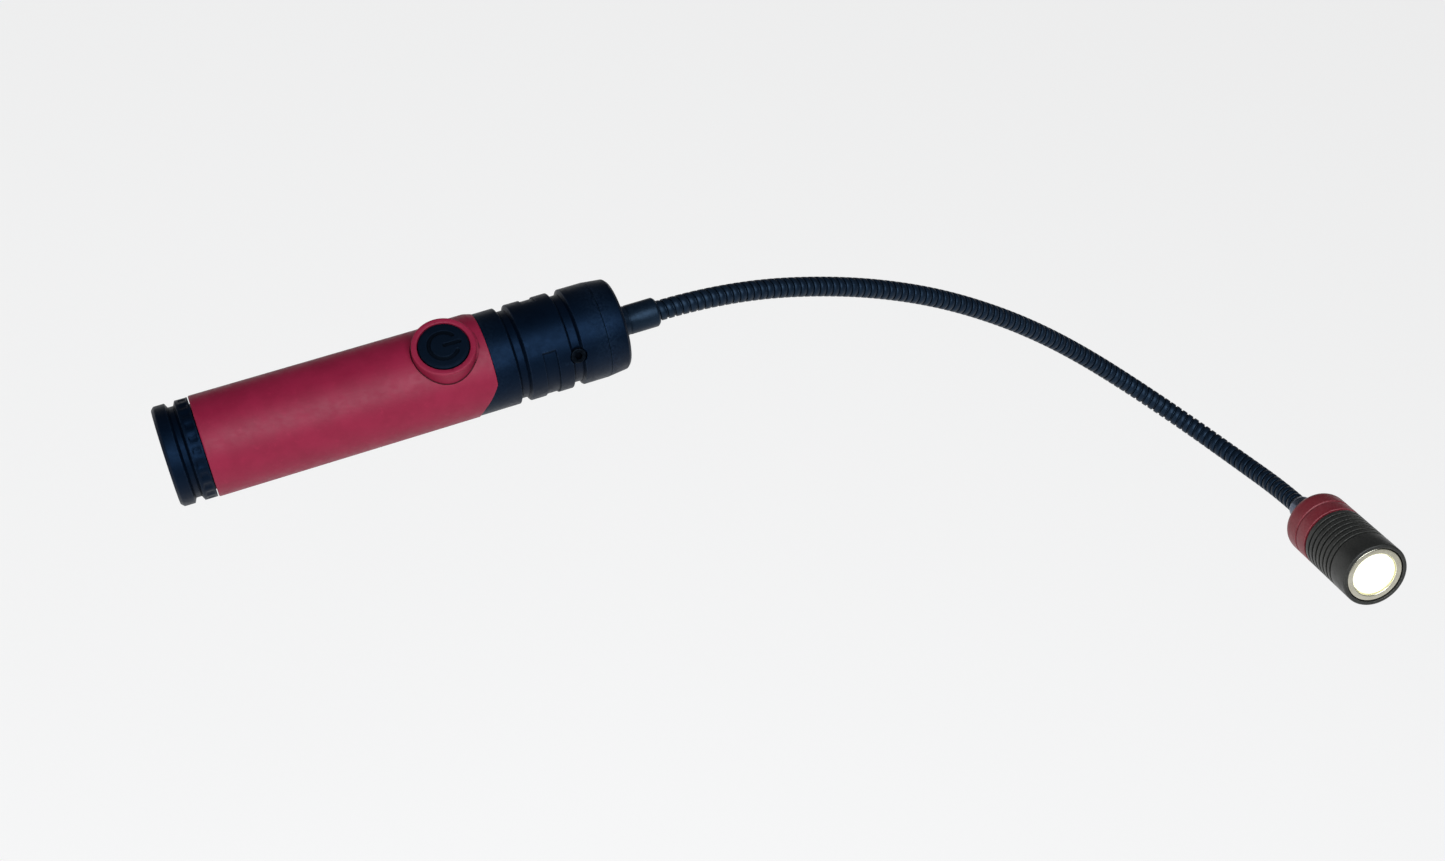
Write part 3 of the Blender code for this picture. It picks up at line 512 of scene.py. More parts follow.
def finish_of(name, colour, dark, light, roughness, grain, metal=0.0, carried=False, edge_wear_and_highlight=None,
              edge_wear_and_highlight_share=0.0, grime_and_shade=None, grime_and_shade_share=0.0, turning=None, scratches=0.0, specular=0.5,
              shine=(1.0, 1.0, 1.0), crease_shade_and_symbol=None):
    """A worked surface: mottled colour, grain, scuffs, edges paled by rubbing and painted highlight, and hollows
    darkened by dirt and painted shade.

    colour, dark and light are the finish and how far it wanders; roughness is its lowest and
    highest; grain is lumps a millimetre, their height in millimetres and how strongly they show;
    turning is the pitch of the lines that a lathe leaves round X; shine is the colour of its
    reflections; the last colour is laid where the mesh marks it: painted shade in the red body's crease, and the
    button's sunk symbol.
    """
    made = Nodes(name, carried)
    mottle = made.noise(0.11, 5.0, 0.6)
    tint = made.mix(made.ramp(mottle, 0.35, 0.68), dark, colour)
    cloud = made.noise(0.55, 4.0, 0.6, distortion=0.4)
    tint = made.mix(made.ramp(cloud, 0.56, 0.82, 0.0, 0.75), tint, light)
    fine = made.noise(grain[0], 2.0, 0.5)
    rough = made.ramp(made.noise(0.35, 6.0, 0.65, distortion=0.6), 0.28, 0.72, *roughness)
    normal = made.bump(fine, grain[1], grain[2])
    if turning:
        across = made.add("ShaderNodeTexWave", {
            "Vector": made.place, "Scale": WAVES / turning, "Distortion": 0.4, "Detail": 2.0},
            wave_type="BANDS", bands_direction="X")
        normal = made.bump(across.outputs["Fac"], 0.004, 0.5, normal)
    if scratches:
        streak = made.noise(1.5, 3.0, 0.6, stretch=(0.35, 5.0, 5.0), distortion=0.3)
        line = made.ramp(streak, 0.66, 0.74)
        rough = made.maths("ADD", rough, made.product(line, 0.18 * scratches))
        tint = made.mix(made.product(line, 0.25 * scratches), tint, light)
    # Convex edges turn paler: rubbing, and on the neck a painted highlight along the edges of its bands.
    if edge_wear_and_highlight:
        broken = made.ramp(made.noise(1.3, 5.0, 0.7), 0.38, 0.62)
        rubbed_and_lit_edges = made.product(made.product(made.attribute("edge"), broken), edge_wear_and_highlight_share)
        tint = made.mix(rubbed_and_lit_edges, tint, edge_wear_and_highlight)
    # Hollows turn darker and less shiny: dirt, and painted shade in grooves, creases and sunk holes.
    if grime_and_shade:
        dust_and_shade_patches = made.ramp(made.noise(0.8, 5.0, 0.7), 0.3, 0.7, 0.35, 1.0)
        hollow = made.product(made.product(made.attribute("hollow"), dust_and_shade_patches), grime_and_shade_share)
        tint = made.mix(hollow, tint, grime_and_shade)
        rough = made.maths("ADD", rough, made.product(hollow, 0.25))
        specular = made.ramp(hollow, 0.0, 0.8, specular, 0.3 * specular, smooth=False)
    # Where the mesh says so, the last colour: painted shade in the red body's crease, and the button's sunk
    # symbol.
    if crease_shade_and_symbol:
        tint = made.mix(made.attribute("crease_shade_and_symbol"), tint, crease_shade_and_symbol)
    made.set(Base_Color=tint, Roughness=rough, Normal=normal, Metallic=metal,
             Specular_IOR_Level=specular, Specular_Tint=shine)
    return made.material


def lit_lens(name):
    """The lens with the lamp on behind it: white over the lamp, paler yellow towards its edge."""
    made = Nodes(name)
    y, z = made.add("ShaderNodeSeparateXYZ", {0: made.place}).outputs[1:]
    square = made.maths("ADD", made.product(y, y), made.product(z, z))
    out = made.maths("POWER", square, 0.5)
    ripple = made.noise(0.9, 3.0)
    reach = made.maths("ADD", out, made.ramp(ripple, 0.3, 0.7, -0.25, 0.25))
    glow = made.ramp(reach, 4.6, 7.6, 1.0, 0.0)
    made.set(Base_Color=made.mix(glow, (0.75, 0.76, 0.62), (0.95, 0.95, 0.9)),
             Emission_Color=made.mix(glow, (0.93, 0.92, 0.62), (1.0, 1.0, 0.97)),
             Emission_Strength=made.ramp(reach, 4.2, 7.7, 7.0, 0.9),
             Roughness=made.ramp(ripple, 0.3, 0.7, 0.04, 0.12), Specular_IOR_Level=0.5)
    return made.material


def printed_board(name):
    """Solder mask with paler tracks under it."""
    made = Nodes(name, carried=True)
    cells = made.add("ShaderNodeTexVoronoi", feature="DISTANCE_TO_EDGE", distance="MANHATTAN")
    made.join(made.place, cells.inputs["Vector"])
    made.join(0.55, cells.inputs["Scale"])
    track = made.ramp(cells.outputs["Distance"], 0.05, 0.08, 1.0, 0.0)
    green = made.mix(made.ramp(made.noise(0.4, 4.0), 0.3, 0.7),
                     (0.010, 0.085, 0.035), (0.016, 0.13, 0.05))
    made.set(Base_Color=made.mix(track, green, (0.05, 0.26, 0.10)),
             Roughness=made.ramp(made.noise(2.0, 3.0), 0.3, 0.7, 0.28, 0.45),
             Normal=made.bump(track, 0.04, 0.6), Coat_Weight=0.4)
    return made.material


def cell_sleeve(name):
    """A battery's shrink sleeve: plain colour bands and fine creases, with no lettering."""
    made = Nodes(name, carried=True)
    creases = made.noise(0.9, 4.0, 0.6, stretch=(0.3, 2.0, 2.0))
    band = made.ramp(made.noise(0.05, 1.0), 0.47, 0.53)
    made.set(Base_Color=made.mix(band, (0.05, 0.10, 0.24), (0.30, 0.32, 0.36)),
             Roughness=made.ramp(creases, 0.3, 0.7, 0.22, 0.4), Metallic=0.35,
             Normal=made.bump(creases, 0.03, 0.4))
    return made.material


# The red plastic's darkest colour is painted shade in the crease round the boss's foot, and its hollows are
# darkened with painted shade as well as dirt.
RED_PLASTIC = finish_of(
    "red_plastic", (0.235, 0.01, 0.039), (0.205, 0.008, 0.033), (0.27, 0.014, 0.047),
    (0.42, 0.56), (5.5, 0.03, 0.35), edge_wear_and_highlight=(0.32, 0.035, 0.065), edge_wear_and_highlight_share=0.3,
    grime_and_shade=(0.045, 0.006, 0.012), grime_and_shade_share=0.85, scratches=0.3, specular=0.22,
    crease_shade_and_symbol=(0.05, 0.003, 0.009))
BLACK_PLASTIC = finish_of(
    "black_plastic", (0.0008, 0.0028, 0.0072), (0.0006, 0.0022, 0.006), (0.0012, 0.0038, 0.0095),
    (0.38, 0.52), (6.0, 0.024, 0.35), edge_wear_and_highlight=(0.01, 0.02, 0.038), edge_wear_and_highlight_share=0.5,
    grime_and_shade=(0.0003, 0.0006, 0.0012), grime_and_shade_share=0.9, scratches=0.3, specular=0.19,
    shine=(0.18, 0.44, 1.0))
BLACK_ANODISED = finish_of(
    "black_anodised", (0.0024, 0.0066, 0.014), (0.0018, 0.005, 0.011), (0.0038, 0.009, 0.018),
    (0.32, 0.46), (9.0, 0.01, 0.35), edge_wear_and_highlight=(0.03, 0.045, 0.07), edge_wear_and_highlight_share=0.5,
    grime_and_shade=(0.0008, 0.0014, 0.0026), grime_and_shade_share=0.85, turning=0.22, scratches=0.35, specular=0.28,
    shine=(0.36, 0.62, 1.0))
# The head's black is painted paler and olive, as the lamp's glare over the barrel.
HEAD_BLACK_AND_GLARE = finish_of(
    "head_anodised_and_glare", (0.026, 0.0265, 0.024), (0.019, 0.0195, 0.0185), (0.036, 0.036, 0.031),
    (0.34, 0.48), (9.0, 0.01, 0.35), metal=0.15, edge_wear_and_highlight=(0.1, 0.1, 0.09), edge_wear_and_highlight_share=0.5,
    grime_and_shade=(0.0025, 0.0027, 0.0028), grime_and_shade_share=0.9, turning=0.2, scratches=0.3, specular=0.35)
HEAD_RED = finish_of(
    "red_anodised", (0.205, 0.02, 0.03), (0.165, 0.014, 0.023), (0.25, 0.032, 0.042), (0.36, 0.5),
    (8.0, 0.012, 0.35), metal=0.1, edge_wear_and_highlight=(0.42, 0.15, 0.17), edge_wear_and_highlight_share=0.45, grime_and_shade=(0.03, 0.005, 0.008),
    grime_and_shade_share=0.9, turning=0.24, scratches=0.3, specular=0.35)
# The neck's near-black hollow colour is painted shade in the grooves between its turns, and its paler edge colour
# a painted highlight along its bands.
NECK_STEEL = finish_of(
    "neck_steel", (0.0036, 0.0084, 0.017), (0.0028, 0.0066, 0.014), (0.0058, 0.012, 0.022),
    (0.36, 0.48), (7.0, 0.01, 0.35), edge_wear_and_highlight=(0.012, 0.022, 0.038), edge_wear_and_highlight_share=0.2,
    grime_and_shade=(0.0002, 0.0004, 0.0008), grime_and_shade_share=1.6, specular=0.29, shine=(0.36, 0.62, 1.0))
# The screws are near black with little shine: black oxide, and painted shade in their sunk holes.
SCREW_BLACK_AND_SHADE = finish_of(
    "screw_black_and_shade", (0.0004, 0.0008, 0.0016), (0.0003, 0.0006, 0.0012), (0.0008, 0.0014, 0.0026),
    (0.34, 0.48), (9.0, 0.01, 0.35), edge_wear_and_highlight=(0.012, 0.018, 0.028), edge_wear_and_highlight_share=0.6,
    grime_and_shade=(0.0002, 0.0003, 0.0004), grime_and_shade_share=1.0, specular=0.06, shine=(0.42, 0.66, 1.0))
RUBBER = finish_of(
    "black_rubber", (0.0008, 0.0026, 0.0065), (0.0006, 0.002, 0.0052), (0.0014, 0.004, 0.009),
    (0.5, 0.66), (7.0, 0.026, 0.4), edge_wear_and_highlight=(0.008, 0.014, 0.026), edge_wear_and_highlight_share=0.5,
    grime_and_shade=(0.0003, 0.0004, 0.0008), grime_and_shade_share=1.0, specular=0.15, shine=(0.3, 0.55, 1.0),
    crease_shade_and_symbol=(0.0002, 0.0002, 0.0003))
FERRULE_STEEL = finish_of(
    "ferrule_steel", (0.085, 0.105, 0.155), (0.06, 0.078, 0.12), (0.13, 0.155, 0.21),
    (0.22, 0.34), (9.0, 0.008, 0.35), metal=0.85, edge_wear_and_highlight=(0.55, 0.58, 0.66), edge_wear_and_highlight_share=0.9,
    grime_and_shade=(0.012, 0.016, 0.024), grime_and_shade_share=0.8, turning=0.3, scratches=0.3)
NICKEL = finish_of(
    "magnet_nickel", (0.62, 0.6, 0.5), (0.5, 0.48, 0.38), (0.72, 0.7, 0.62), (0.14, 0.3),
    (6.0, 0.006, 0.4), metal=1.0, edge_wear_and_highlight=(0.8, 0.78, 0.7), edge_wear_and_highlight_share=0.4, grime_and_shade=(0.12, 0.11, 0.08),
    grime_and_shade_share=0.6, scratches=0.7)
JACKET = finish_of(
    "lead_jacket", (0.045, 0.045, 0.048), (0.03, 0.03, 0.033), (0.07, 0.07, 0.07), (0.45, 0.62),
    (4.0, 0.02, 0.5))
MIRROR = finish_of(
    "reflector_mirror", (0.84, 0.84, 0.85), (0.76, 0.76, 0.78), (0.9, 0.9, 0.9), (0.05, 0.14),
    (1.2, 0.02, 0.35), metal=1.0)
PHOSPHOR = finish_of(
    "led_phosphor", (0.88, 0.72, 0.18), (0.8, 0.62, 0.12), (0.94, 0.82, 0.3), (0.3, 0.42),
    (5.0, 0.015, 0.4))
SPRING_STEEL = finish_of(
    "spring_steel", (0.52, 0.52, 0.52), (0.42, 0.42, 0.43), (0.62, 0.62, 0.62), (0.18, 0.32),
    (6.0, 0.006, 0.4), metal=1.0, carried=True)
INNER_PLASTIC = finish_of(
    "inner_plastic", (0.014, 0.016, 0.02), (0.01, 0.011, 0.014), (0.026, 0.028, 0.032),
    (0.4, 0.55), (5.0, 0.02, 0.5), carried=True)
SEAL_RUBBER = finish_of(
    "seal_rubber", (0.012, 0.013, 0.015), (0.008, 0.009, 0.01), (0.02, 0.021, 0.023), (0.5, 0.7),
    (5.0, 0.015, 0.5), carried=True)
LENS_CLEAR = lit_lens("lens_clear")
CIRCUIT_BOARD = printed_board("circuit_board")
CELL_WRAP = cell_sleeve("cell_wrap")


# ---- handle

PATCH_REACH = 11.4
PATCH_CELLS = 30
BODY_SIDES = 120
TAIL_ROWS = 7
EASED_POINTS = 5
PATCH_START = BUTTON_X - PATCH_REACH
POCKET_TOP = 13.2
POCKET_BOTTOM = 3.0
SCREW_SEAT = 14.25
SINK_RADIUS = 2.9
SCREW_HOLE = 1.35
NEAR_EDGE = 0.4


def ease(share):
    share = min(max(share, 0.0), 1.0)
    return share * share * (3 - 2 * share)


def rise(value, span):
    """From 0 before the span to 1 after it."""
    return ease((value - span[0]) / (span[1] - span[0]))


def junction(height):
    """Where the red body ends at this height over the handle's axis: square, then slanting back."""
    return float(np.interp(height, JUNCTION_HEIGHTS, JUNCTION_XS))


def outwards(angle):
    """A screw's frame, its X pointing outwards, turned by the angle from the button's side."""
    turn = Matrix.Rotation(angle, 4, "X") @ Matrix.Rotation(-pi / 2, 4, "Y")
    return handle @ Matrix.Translation((SCREW_X * MM, 0, 0)) @ turn


def plug(matrix, low, high, radius, sides=40):
    """A cutter for a round hole along X."""
    return turned("plug", [(low, 0), (low, radius), (high, radius), (high, 0)], matrix, sides)


def body_profile(angle):
    """The wall of the red body: along the outside, through the collar's spigot, and back inside."""
    lean = cos(angle)
    edge = junction(BODY_RADIUS * lean)
    stretch = (edge - PATCH_START) / (JUNCTION_XS[-1] - PATCH_START)
    tail = TAIL_END + GAP
    outside = [(tail, BODY_RADIUS, 0.5)]
    outside += [(tail + (PATCH_START - tail) * part / (TAIL_ROWS + 1), BODY_RADIUS)
                for part in range(1, TAIL_ROWS + 1)]
    for cell in range(PATCH_CELLS + 1):
        x = PATCH_START + 2 * PATCH_REACH * cell / PATCH_CELLS * stretch
        outside.append((x, body_radius(x, angle)))
    inside = [(edge, BODY_RADIUS, 0.2), (junction(SPIGOT_RADIUS * lean), SPIGOT_RADIUS),
              (SPIGOT_FRONT, SPIGOT_RADIUS, 0.5), (SPIGOT_FRONT, SPIGOT_BORE),
              (SPIGOT_BACK, SPIGOT_BORE), (SPIGOT_BACK - 1, BODY_BORE), (tail, BODY_BORE, 0.3)]
    return outside + inside


def body_radius(x, angle):
    """The red body's radius; it swells a little beside the boss on the side away from the screw."""
    angle = (angle + pi) % (2 * pi) - pi
    along = rise(x, SWELL_RISE) - rise(x, SWELL_FALL)
    across = rise(angle, SWELL_ROUND[0]) - rise(angle, SWELL_ROUND[1])
    return BODY_RADIUS + SWELL * along * across


def skin_height(x, y):
    """The height of the red body's skin over the handle's axis at this place."""
    angle = asin(y / BODY_RADIUS)
    for _ in range(4):
        angle = asin(y / body_radius(x, angle))
    return body_radius(x, angle) * cos(angle)


def boss_fade(lean):
    """How far the boss runs out into the body, from 0 beside it to 1 towards the neck."""
    return rise(lean, BOSS_FADE)


def boss_section(border):
    """Points from the border of the boss's patch over the crease and up the boss to its middle."""
    away = hypot(border[0] - BUTTON_X, border[1])
    step = ((border[0] - BUTTON_X) / away, border[1] / away)
    fade = boss_fade(step[0])
    foot = min(BOSS_RADIUS + BOSS_FILLET + 0.5 * fade, PATCH_REACH - 0.3)
    notch = CREASE_DEPTH * (1 - fade)

    def skin(reach):
        return skin_height(BUTTON_X + step[0] * reach, step[1] * reach)

    section = [(reach, skin(reach)) for reach in (
        *(foot + (away - foot) * share for share in (0.7, 0.4, 0.18)), foot + 0.12)]
    section += [(foot - inwards, skin(foot - inwards) - notch) for inwards in (0.05, 0.25)]
    wall = BOSS_RADIUS + 0.02
    section += [(wall, skin(BOSS_RADIUS) + lift) for lift in (0.1, 0.5)]
    top = BOSS_TOP - BOSS_BROW
    low = section[-1][1]
    section += [(BOSS_RADIUS, low + (top - low) * share) for share in (0.5, 0.9)]
    section += [(BOSS_RADIUS - BOSS_BROW * (1 - cos(turn)), top + BOSS_BROW * sin(turn))
                for turn in (0, pi / 8, pi / 4, 3 * pi / 8, pi / 2)]
    section += [(BOSS_RADIUS - BOSS_BROW - 0.4, BOSS_TOP), (BUTTON_RADIUS * 0.6, BOSS_TOP)]
    return [tuple(border)] + [(BUTTON_X + step[0] * reach, step[1] * reach, height)
                              for reach, height in section]


def paint_crease_shade(shell):
    """Store where the crease round the boss's foot lies, for the plastic's finish to paint shade in it."""
    share = []
    for x, y, z in read(shell.data.vertices, "co") / MM:
        away = hypot(x - BUTTON_X, y)
        near = BOSS_RADIUS - 0.1 < away < PATCH_REACH and z > 0
        sunk = (skin_height(x, y) - z) / CREASE_DEPTH if near else 0.0
        share.append(sunk if 0.0 < sunk < 1.2 else 0.0)
    store(shell.data, "crease_shade_and_symbol", share)


def make_handle_shell():
    """The red body: a tube with a slanted front edge and the boss that rises round the button."""
    grid = ring_grid(body_profile, even_angles(BODY_SIDES))
    rows = grid.shape[0]
    half = PATCH_CELLS // 2
    first = EASED_POINTS + TAIL_ROWS
    last = first + PATCH_CELLS

    def in_patch(row, side):
        column = (side + half) % BODY_SIDES
        return first <= row < last and column < 2 * half

    faces = grid_faces(rows, BODY_SIDES, skip=in_patch)
    points = [tuple(point) for point in grid.reshape(-1, 3)]
    border = [(first, side) for side in range(-half, half)]
    border += [(row, half) for row in range(first, last)]
    border += [(last, side) for side in range(half, -half, -1)]
    border += [(row, -half) for row in range(last, first, -1)]
    sections = [boss_section(grid[row, side % BODY_SIDES] / MM) for row, side in border]
    start = len(points)
    depth = len(sections[0])
    points += [tuple(value * MM for value in point) for section in sections for point in section]
    points.append((BUTTON_X * MM, 0, BOSS_TOP * MM))
    count = len(sections)
    for i in range(count):
        here = start + i * depth
        there = start + ((i + 1) % count) * depth
        faces += [(here + k, here + k + 1, there + k + 1, there + k) for k in range(depth - 1)]
        faces.append((here + depth - 1, start + count * depth, there + depth - 1))
    shell = solid("handle_shell", points, faces, handle)
    mouth = BUTTON_RADIUS + GAP
    well = [(BOSS_TOP + 5, 0), (BOSS_TOP + 5, mouth + 0.32), (BOSS_TOP, mouth + 0.32),
            (BOSS_TOP - 0.06, mouth + 0.16), (BOSS_TOP - 0.16, mouth + 0.06),
            (BOSS_TOP - 0.32, mouth), (POCKET_TOP, mouth), (POCKET_TOP, BUTTON_FLANGE + GAP),
            (POCKET_BOTTOM, BUTTON_FLANGE + GAP), (POCKET_BOTTOM, 0)]
    carve(shell, turned("well", well, button))
    for angle in SCREW_ANGLES.values():
        carve(shell, plug(outwards(angle), 9, 14, SCREW_HOLE))
    paint_crease_shade(shell)
    finish_piece(shell, "handle", RED_PLASTIC, "red_plastic", "handle_body", reach=0.6)


def grooved(back, front, slope, depth=GROOVE_DEPTH, easing=0.22):
    """A groove round a black part with sloped walls and eased edges, from its back to its front."""
    skin = COLLAR_RADIUS
    floor = skin - depth
    return [(back - NEAR_EDGE, skin), (back, skin, easing), (back + slope, floor, easing),
            (back + slope + NEAR_EDGE, floor), (front - slope - NEAR_EDGE, floor),
            (front - slope, floor, easing), (front, skin, easing), (front + NEAR_EDGE, skin)]


def collar_profile(angle):
    lean = cos(angle)
    off_land = (abs(lean) - cos(RECESS_LAND)) * LAND_SHARPNESS
    depth = RECESS_DEPTH * (1 - ease(off_land + 0.5))
    outside = [(junction(COLLAR_RADIUS * lean) + SEAM, COLLAR_RADIUS, 0.12)]
    outside += grooved(*REAR_GROOVE)
    outside += grooved(*RECESS, 0.06, depth, 0.10)
    outside += grooved(*FRONT_GROOVE)
    outside.append((COLLAR_FRONT, COLLAR_RADIUS, 0.10))
    inside = [(COLLAR_FRONT, FRONT_SOCKET, 0.2), (WEB[1], FRONT_SOCKET), (WEB[1], WEB_HOLE),
              (WEB[0], WEB_HOLE), (WEB[0], COLLAR_BORE),
              (junction(COLLAR_BORE * lean) + SEAM, COLLAR_BORE)]
    return outside + inside


def make_collar():
    """The black collar: two deep grooves, a shallow broken recess and two sunk screws."""
    angles = set(even_angles(120))
    for centre in (0, pi):
        for side in (-1, 1):
            land = centre + side * RECESS_LAND
            angles |= {(land + radians(shift)) % (2 * pi) for shift in (-0.9, -0.45, 0, 0.45, 0.9)}
    sleeve = turned("collar_sleeve", collar_profile, handle, angles=sorted(angles))
    for angle in SCREW_ANGLES.values():
        carve(sleeve, plug(outwards(angle), SCREW_SEAT, 20, SINK_RADIUS))
        carve(sleeve, plug(outwards(angle), 9, SCREW_SEAT + 1, SCREW_HOLE))
    finish_piece(sleeve, "handle", BLACK_PLASTIC, "black_plastic", "collar", reach=0.45)


def make_collar_screws():
    seat = SCREW_SEAT + GAP
    for side, angle in SCREW_ANGLES.items():
        screw = turned(f"cap_screw_{side}", [
            (10.5, 0), (10.5, 1.0, 0.3), (seat, 1.0), (seat, 2.5, 0.12), (seat + 1.4, 2.5, 0.35),
            (seat + 1.4, 0)], outwards(angle), 48)
        carve(screw, plug(outwards(angle), seat + 0.4, seat + 3, 1.3, 6))
        finish_piece(screw, "handle", SCREW_BLACK_AND_SHADE, "black_anodised", f"collar_screw_{side}")


def make_front_ring():
    ring = turned("nose_ring", [
        (139.9, SOCKET_RADIUS + GAP), (139.9, 10.9, 0.3), (140.6, 10.9), (140.6, 9.9), (142.0, 9.9),
        (142.0, 10.9), (142.6, 10.9), (142.6, 16.2, 0.10), (HANDLE_LENGTH - 1.0, 15.5, 0.25),
        (HANDLE_LENGTH, 14.5, 0.25), (HANDLE_LENGTH, 13.3, 0.2), (HANDLE_LENGTH - 1.2, 12.5, 0.3),
        (HANDLE_LENGTH - 1.2, SOCKET_RADIUS + GAP, 0.25)], handle, 128)
    finish_piece(ring, "handle", BLACK_PLASTIC, "black_anodised", "front_ring")


def make_neck_socket():
    socket = turned("neck_gland", [
        (137.3, LEAD_HOLE), (137.3, 10.6, 0.3), (139.6, 10.6, 0.3), (139.6, SOCKET_RADIUS, 0.3),
        (153.4, SOCKET_RADIUS), (153.6, SOCKET_RADIUS - 0.12, 0.05),
        (154.0, SOCKET_RADIUS - 0.12, 0.05), (154.2, SOCKET_RADIUS),
        (SOCKET_MOUTH - 0.8, SOCKET_RADIUS, 0.25), (SOCKET_MOUTH, SOCKET_RADIUS - 0.7, 0.2),
        (SOCKET_MOUTH, SOCKET_BORE, 0.12), (141.0, SOCKET_BORE), (141.0, LEAD_HOLE)], handle)
    finish_piece(socket, "handle", BLACK_ANODISED, "black_anodised", "neck_socket", reach=0.4)


def symbol_depth(radius, angle):
    """How deep the power symbol, an open circle and a bar towards the neck, is at this place."""
    y, along = radius * sin(angle), -radius * cos(angle)
    if abs(atan2(y, along)) > SYMBOL_GAP:
        ring = abs(radius - SYMBOL_RADIUS)
    else:
        ring = hypot(along - SYMBOL_RADIUS * cos(SYMBOL_GAP),
                     abs(y) - SYMBOL_RADIUS * sin(SYMBOL_GAP))
    bar = hypot(along - min(max(along, 0.3), SYMBOL_RADIUS + 0.5), y)
    stroke = min(ring, bar)
    return SYMBOL_DEPTH * ease((SYMBOL_STROKE / 2 + 0.14 - stroke) / 0.28)


def darken_symbol(cap):
    """Store where the sunk symbol lies, for the rubber's finish."""
    depth = [symbol_depth(hypot(y, z), atan2(y, z)) / SYMBOL_DEPTH if x > BUTTON_TOP - 1 else 0.0
             for x, y, z in read(cap.data.vertices, "co") / MM]
    store(cap.data, "crease_shade_and_symbol", depth)


def button_profile(angle):
    """The button with its crowned, dished face, from the middle of the face to its underside."""
    dish = []
    for step in range(DISH_ROWS + 1):
        radius = (BUTTON_RADIUS - 1.0) * step / DISH_ROWS
        crown = BUTTON_CROWN * (1 - (radius / BUTTON_RADIUS) ** 2)
        dish.append((BUTTON_TOP + crown - symbol_depth(radius, angle), radius))
    rim = rounded([(BUTTON_TOP, BUTTON_RADIUS - 0.9), (BUTTON_TOP - 0.15, BUTTON_RADIUS, 0.45),
                   (BUTTON_BOTTOM + 0.9, BUTTON_RADIUS), (BUTTON_BOTTOM + 0.9, BUTTON_FLANGE, 0.15),
                   (BUTTON_BOTTOM, BUTTON_FLANGE, 0.15), (BUTTON_BOTTOM, 0)], 4)
    return dish + rim[1:]


def make_button():
    cap = turned("button_cap", button_profile, button, 200)
    darken_symbol(cap)
    finish_piece(cap, "button", RUBBER, "black_rubber", "power_button", reach=0.3)


def tail_profile(angle):
    """The tail cap with shallow grip flutes between its groove and the red body."""
    grip = COLLAR_RADIUS - FLUTE_DEPTH * ease(0.5 + 1.6 * cos(GRIP_FLUTES * angle))
    return [
        (0, 0), (0, 10.6), (0.35, 10.9, 0.1), (0.35, 11.4, 0.1), (0, 11.7),
        (0, COLLAR_RADIUS - 1.0, 0.3), (1.0, COLLAR_RADIUS, 0.3), *grooved(*TAIL_GROOVE),
        (8.3, COLLAR_RADIUS), (8.7, grip), (10.6, grip), (11.0, COLLAR_RADIUS),
        (TAIL_END, COLLAR_RADIUS, 0.15), (TAIL_END, TAIL_SPIGOT), (17.6, TAIL_SPIGOT),
        (17.6, TAIL_SPIGOT - 1), (19.2, TAIL_SPIGOT - 1), (19.2, TAIL_SPIGOT),
        (21, TAIL_SPIGOT, 0.5), (21, TAIL_BORE, 0.3), (3, TAIL_BORE), (3, 0)]


def make_tail_cap():
    cap = turned("tail_cover", tail_profile, handle, 192)
    finish_piece(cap, "tail_cap", BLACK_PLASTIC, "black_plastic", "tail_cap", reach=0.45)


# ---- neck

def rib_radius(phase):
    """The neck's radius through one turn: a broad flat wire, then a lower narrow one."""
    phase = phase % 1.0
    crown = phase / RIB_CROWN
    band = (phase - RIB_CROWN) / (1 - RIB_CROWN)
    wide = NECK_RADIUS - 0.02 * (2 * crown - 1) ** 2 - 0.55 * np.abs(2 * crown - 1) ** 14
    narrow = NECK_RADIUS - 0.52 - 0.16 * np.abs(2 * band - 1) ** 4
    return np.where(phase < RIB_CROWN, wide, narrow)


def rib_phases():
    wide = [RIB_CROWN * share for share in (0, 0.02, 0.05, 0.12, 0.5, 0.88, 0.95, 0.98)]
    narrow = [RIB_CROWN + (1 - RIB_CROWN) * share for share in (0, 0.12, 0.35, 0.65, 0.88)]
    return wide + narrow


def strung(path, along, around, reach):
    """A grid's points along the neck, and for its finish their places on the straightened neck."""
    places = [along + path.before / MM, reach * np.cos(around), reach * np.sin(around)]
    return (path.points(along * MM, around, reach * MM).reshape(-1, 3),
            np.stack(places, -1).reshape(-1, 3))


def tube(path, radius, sides):
    """The grid of a plain round tube along a stretch: lengths, angles and distances."""
    along = np.repeat(np.linspace(0, path.length / MM, PATH_ROWS)[:, None], sides, 1)
    return along, np.broadcast_to(even_angles(sides), along.shape), np.full(along.shape, radius)


def helix_faces(rows, columns, turn_rows):
    """Quads of a helical grid: past its last column it runs on one whole turn further."""
    faces = []
    for row in range(rows - 1):
        for side in range(columns):
            other, step = (side + 1, 0) if side + 1 < columns else (0, turn_rows)
            if row + 1 + step < rows:
                faces.append((row * columns + side, (row + step) * columns + other,
                              (row + 1 + step) * columns + other, (row + 1) * columns + side))
    return faces


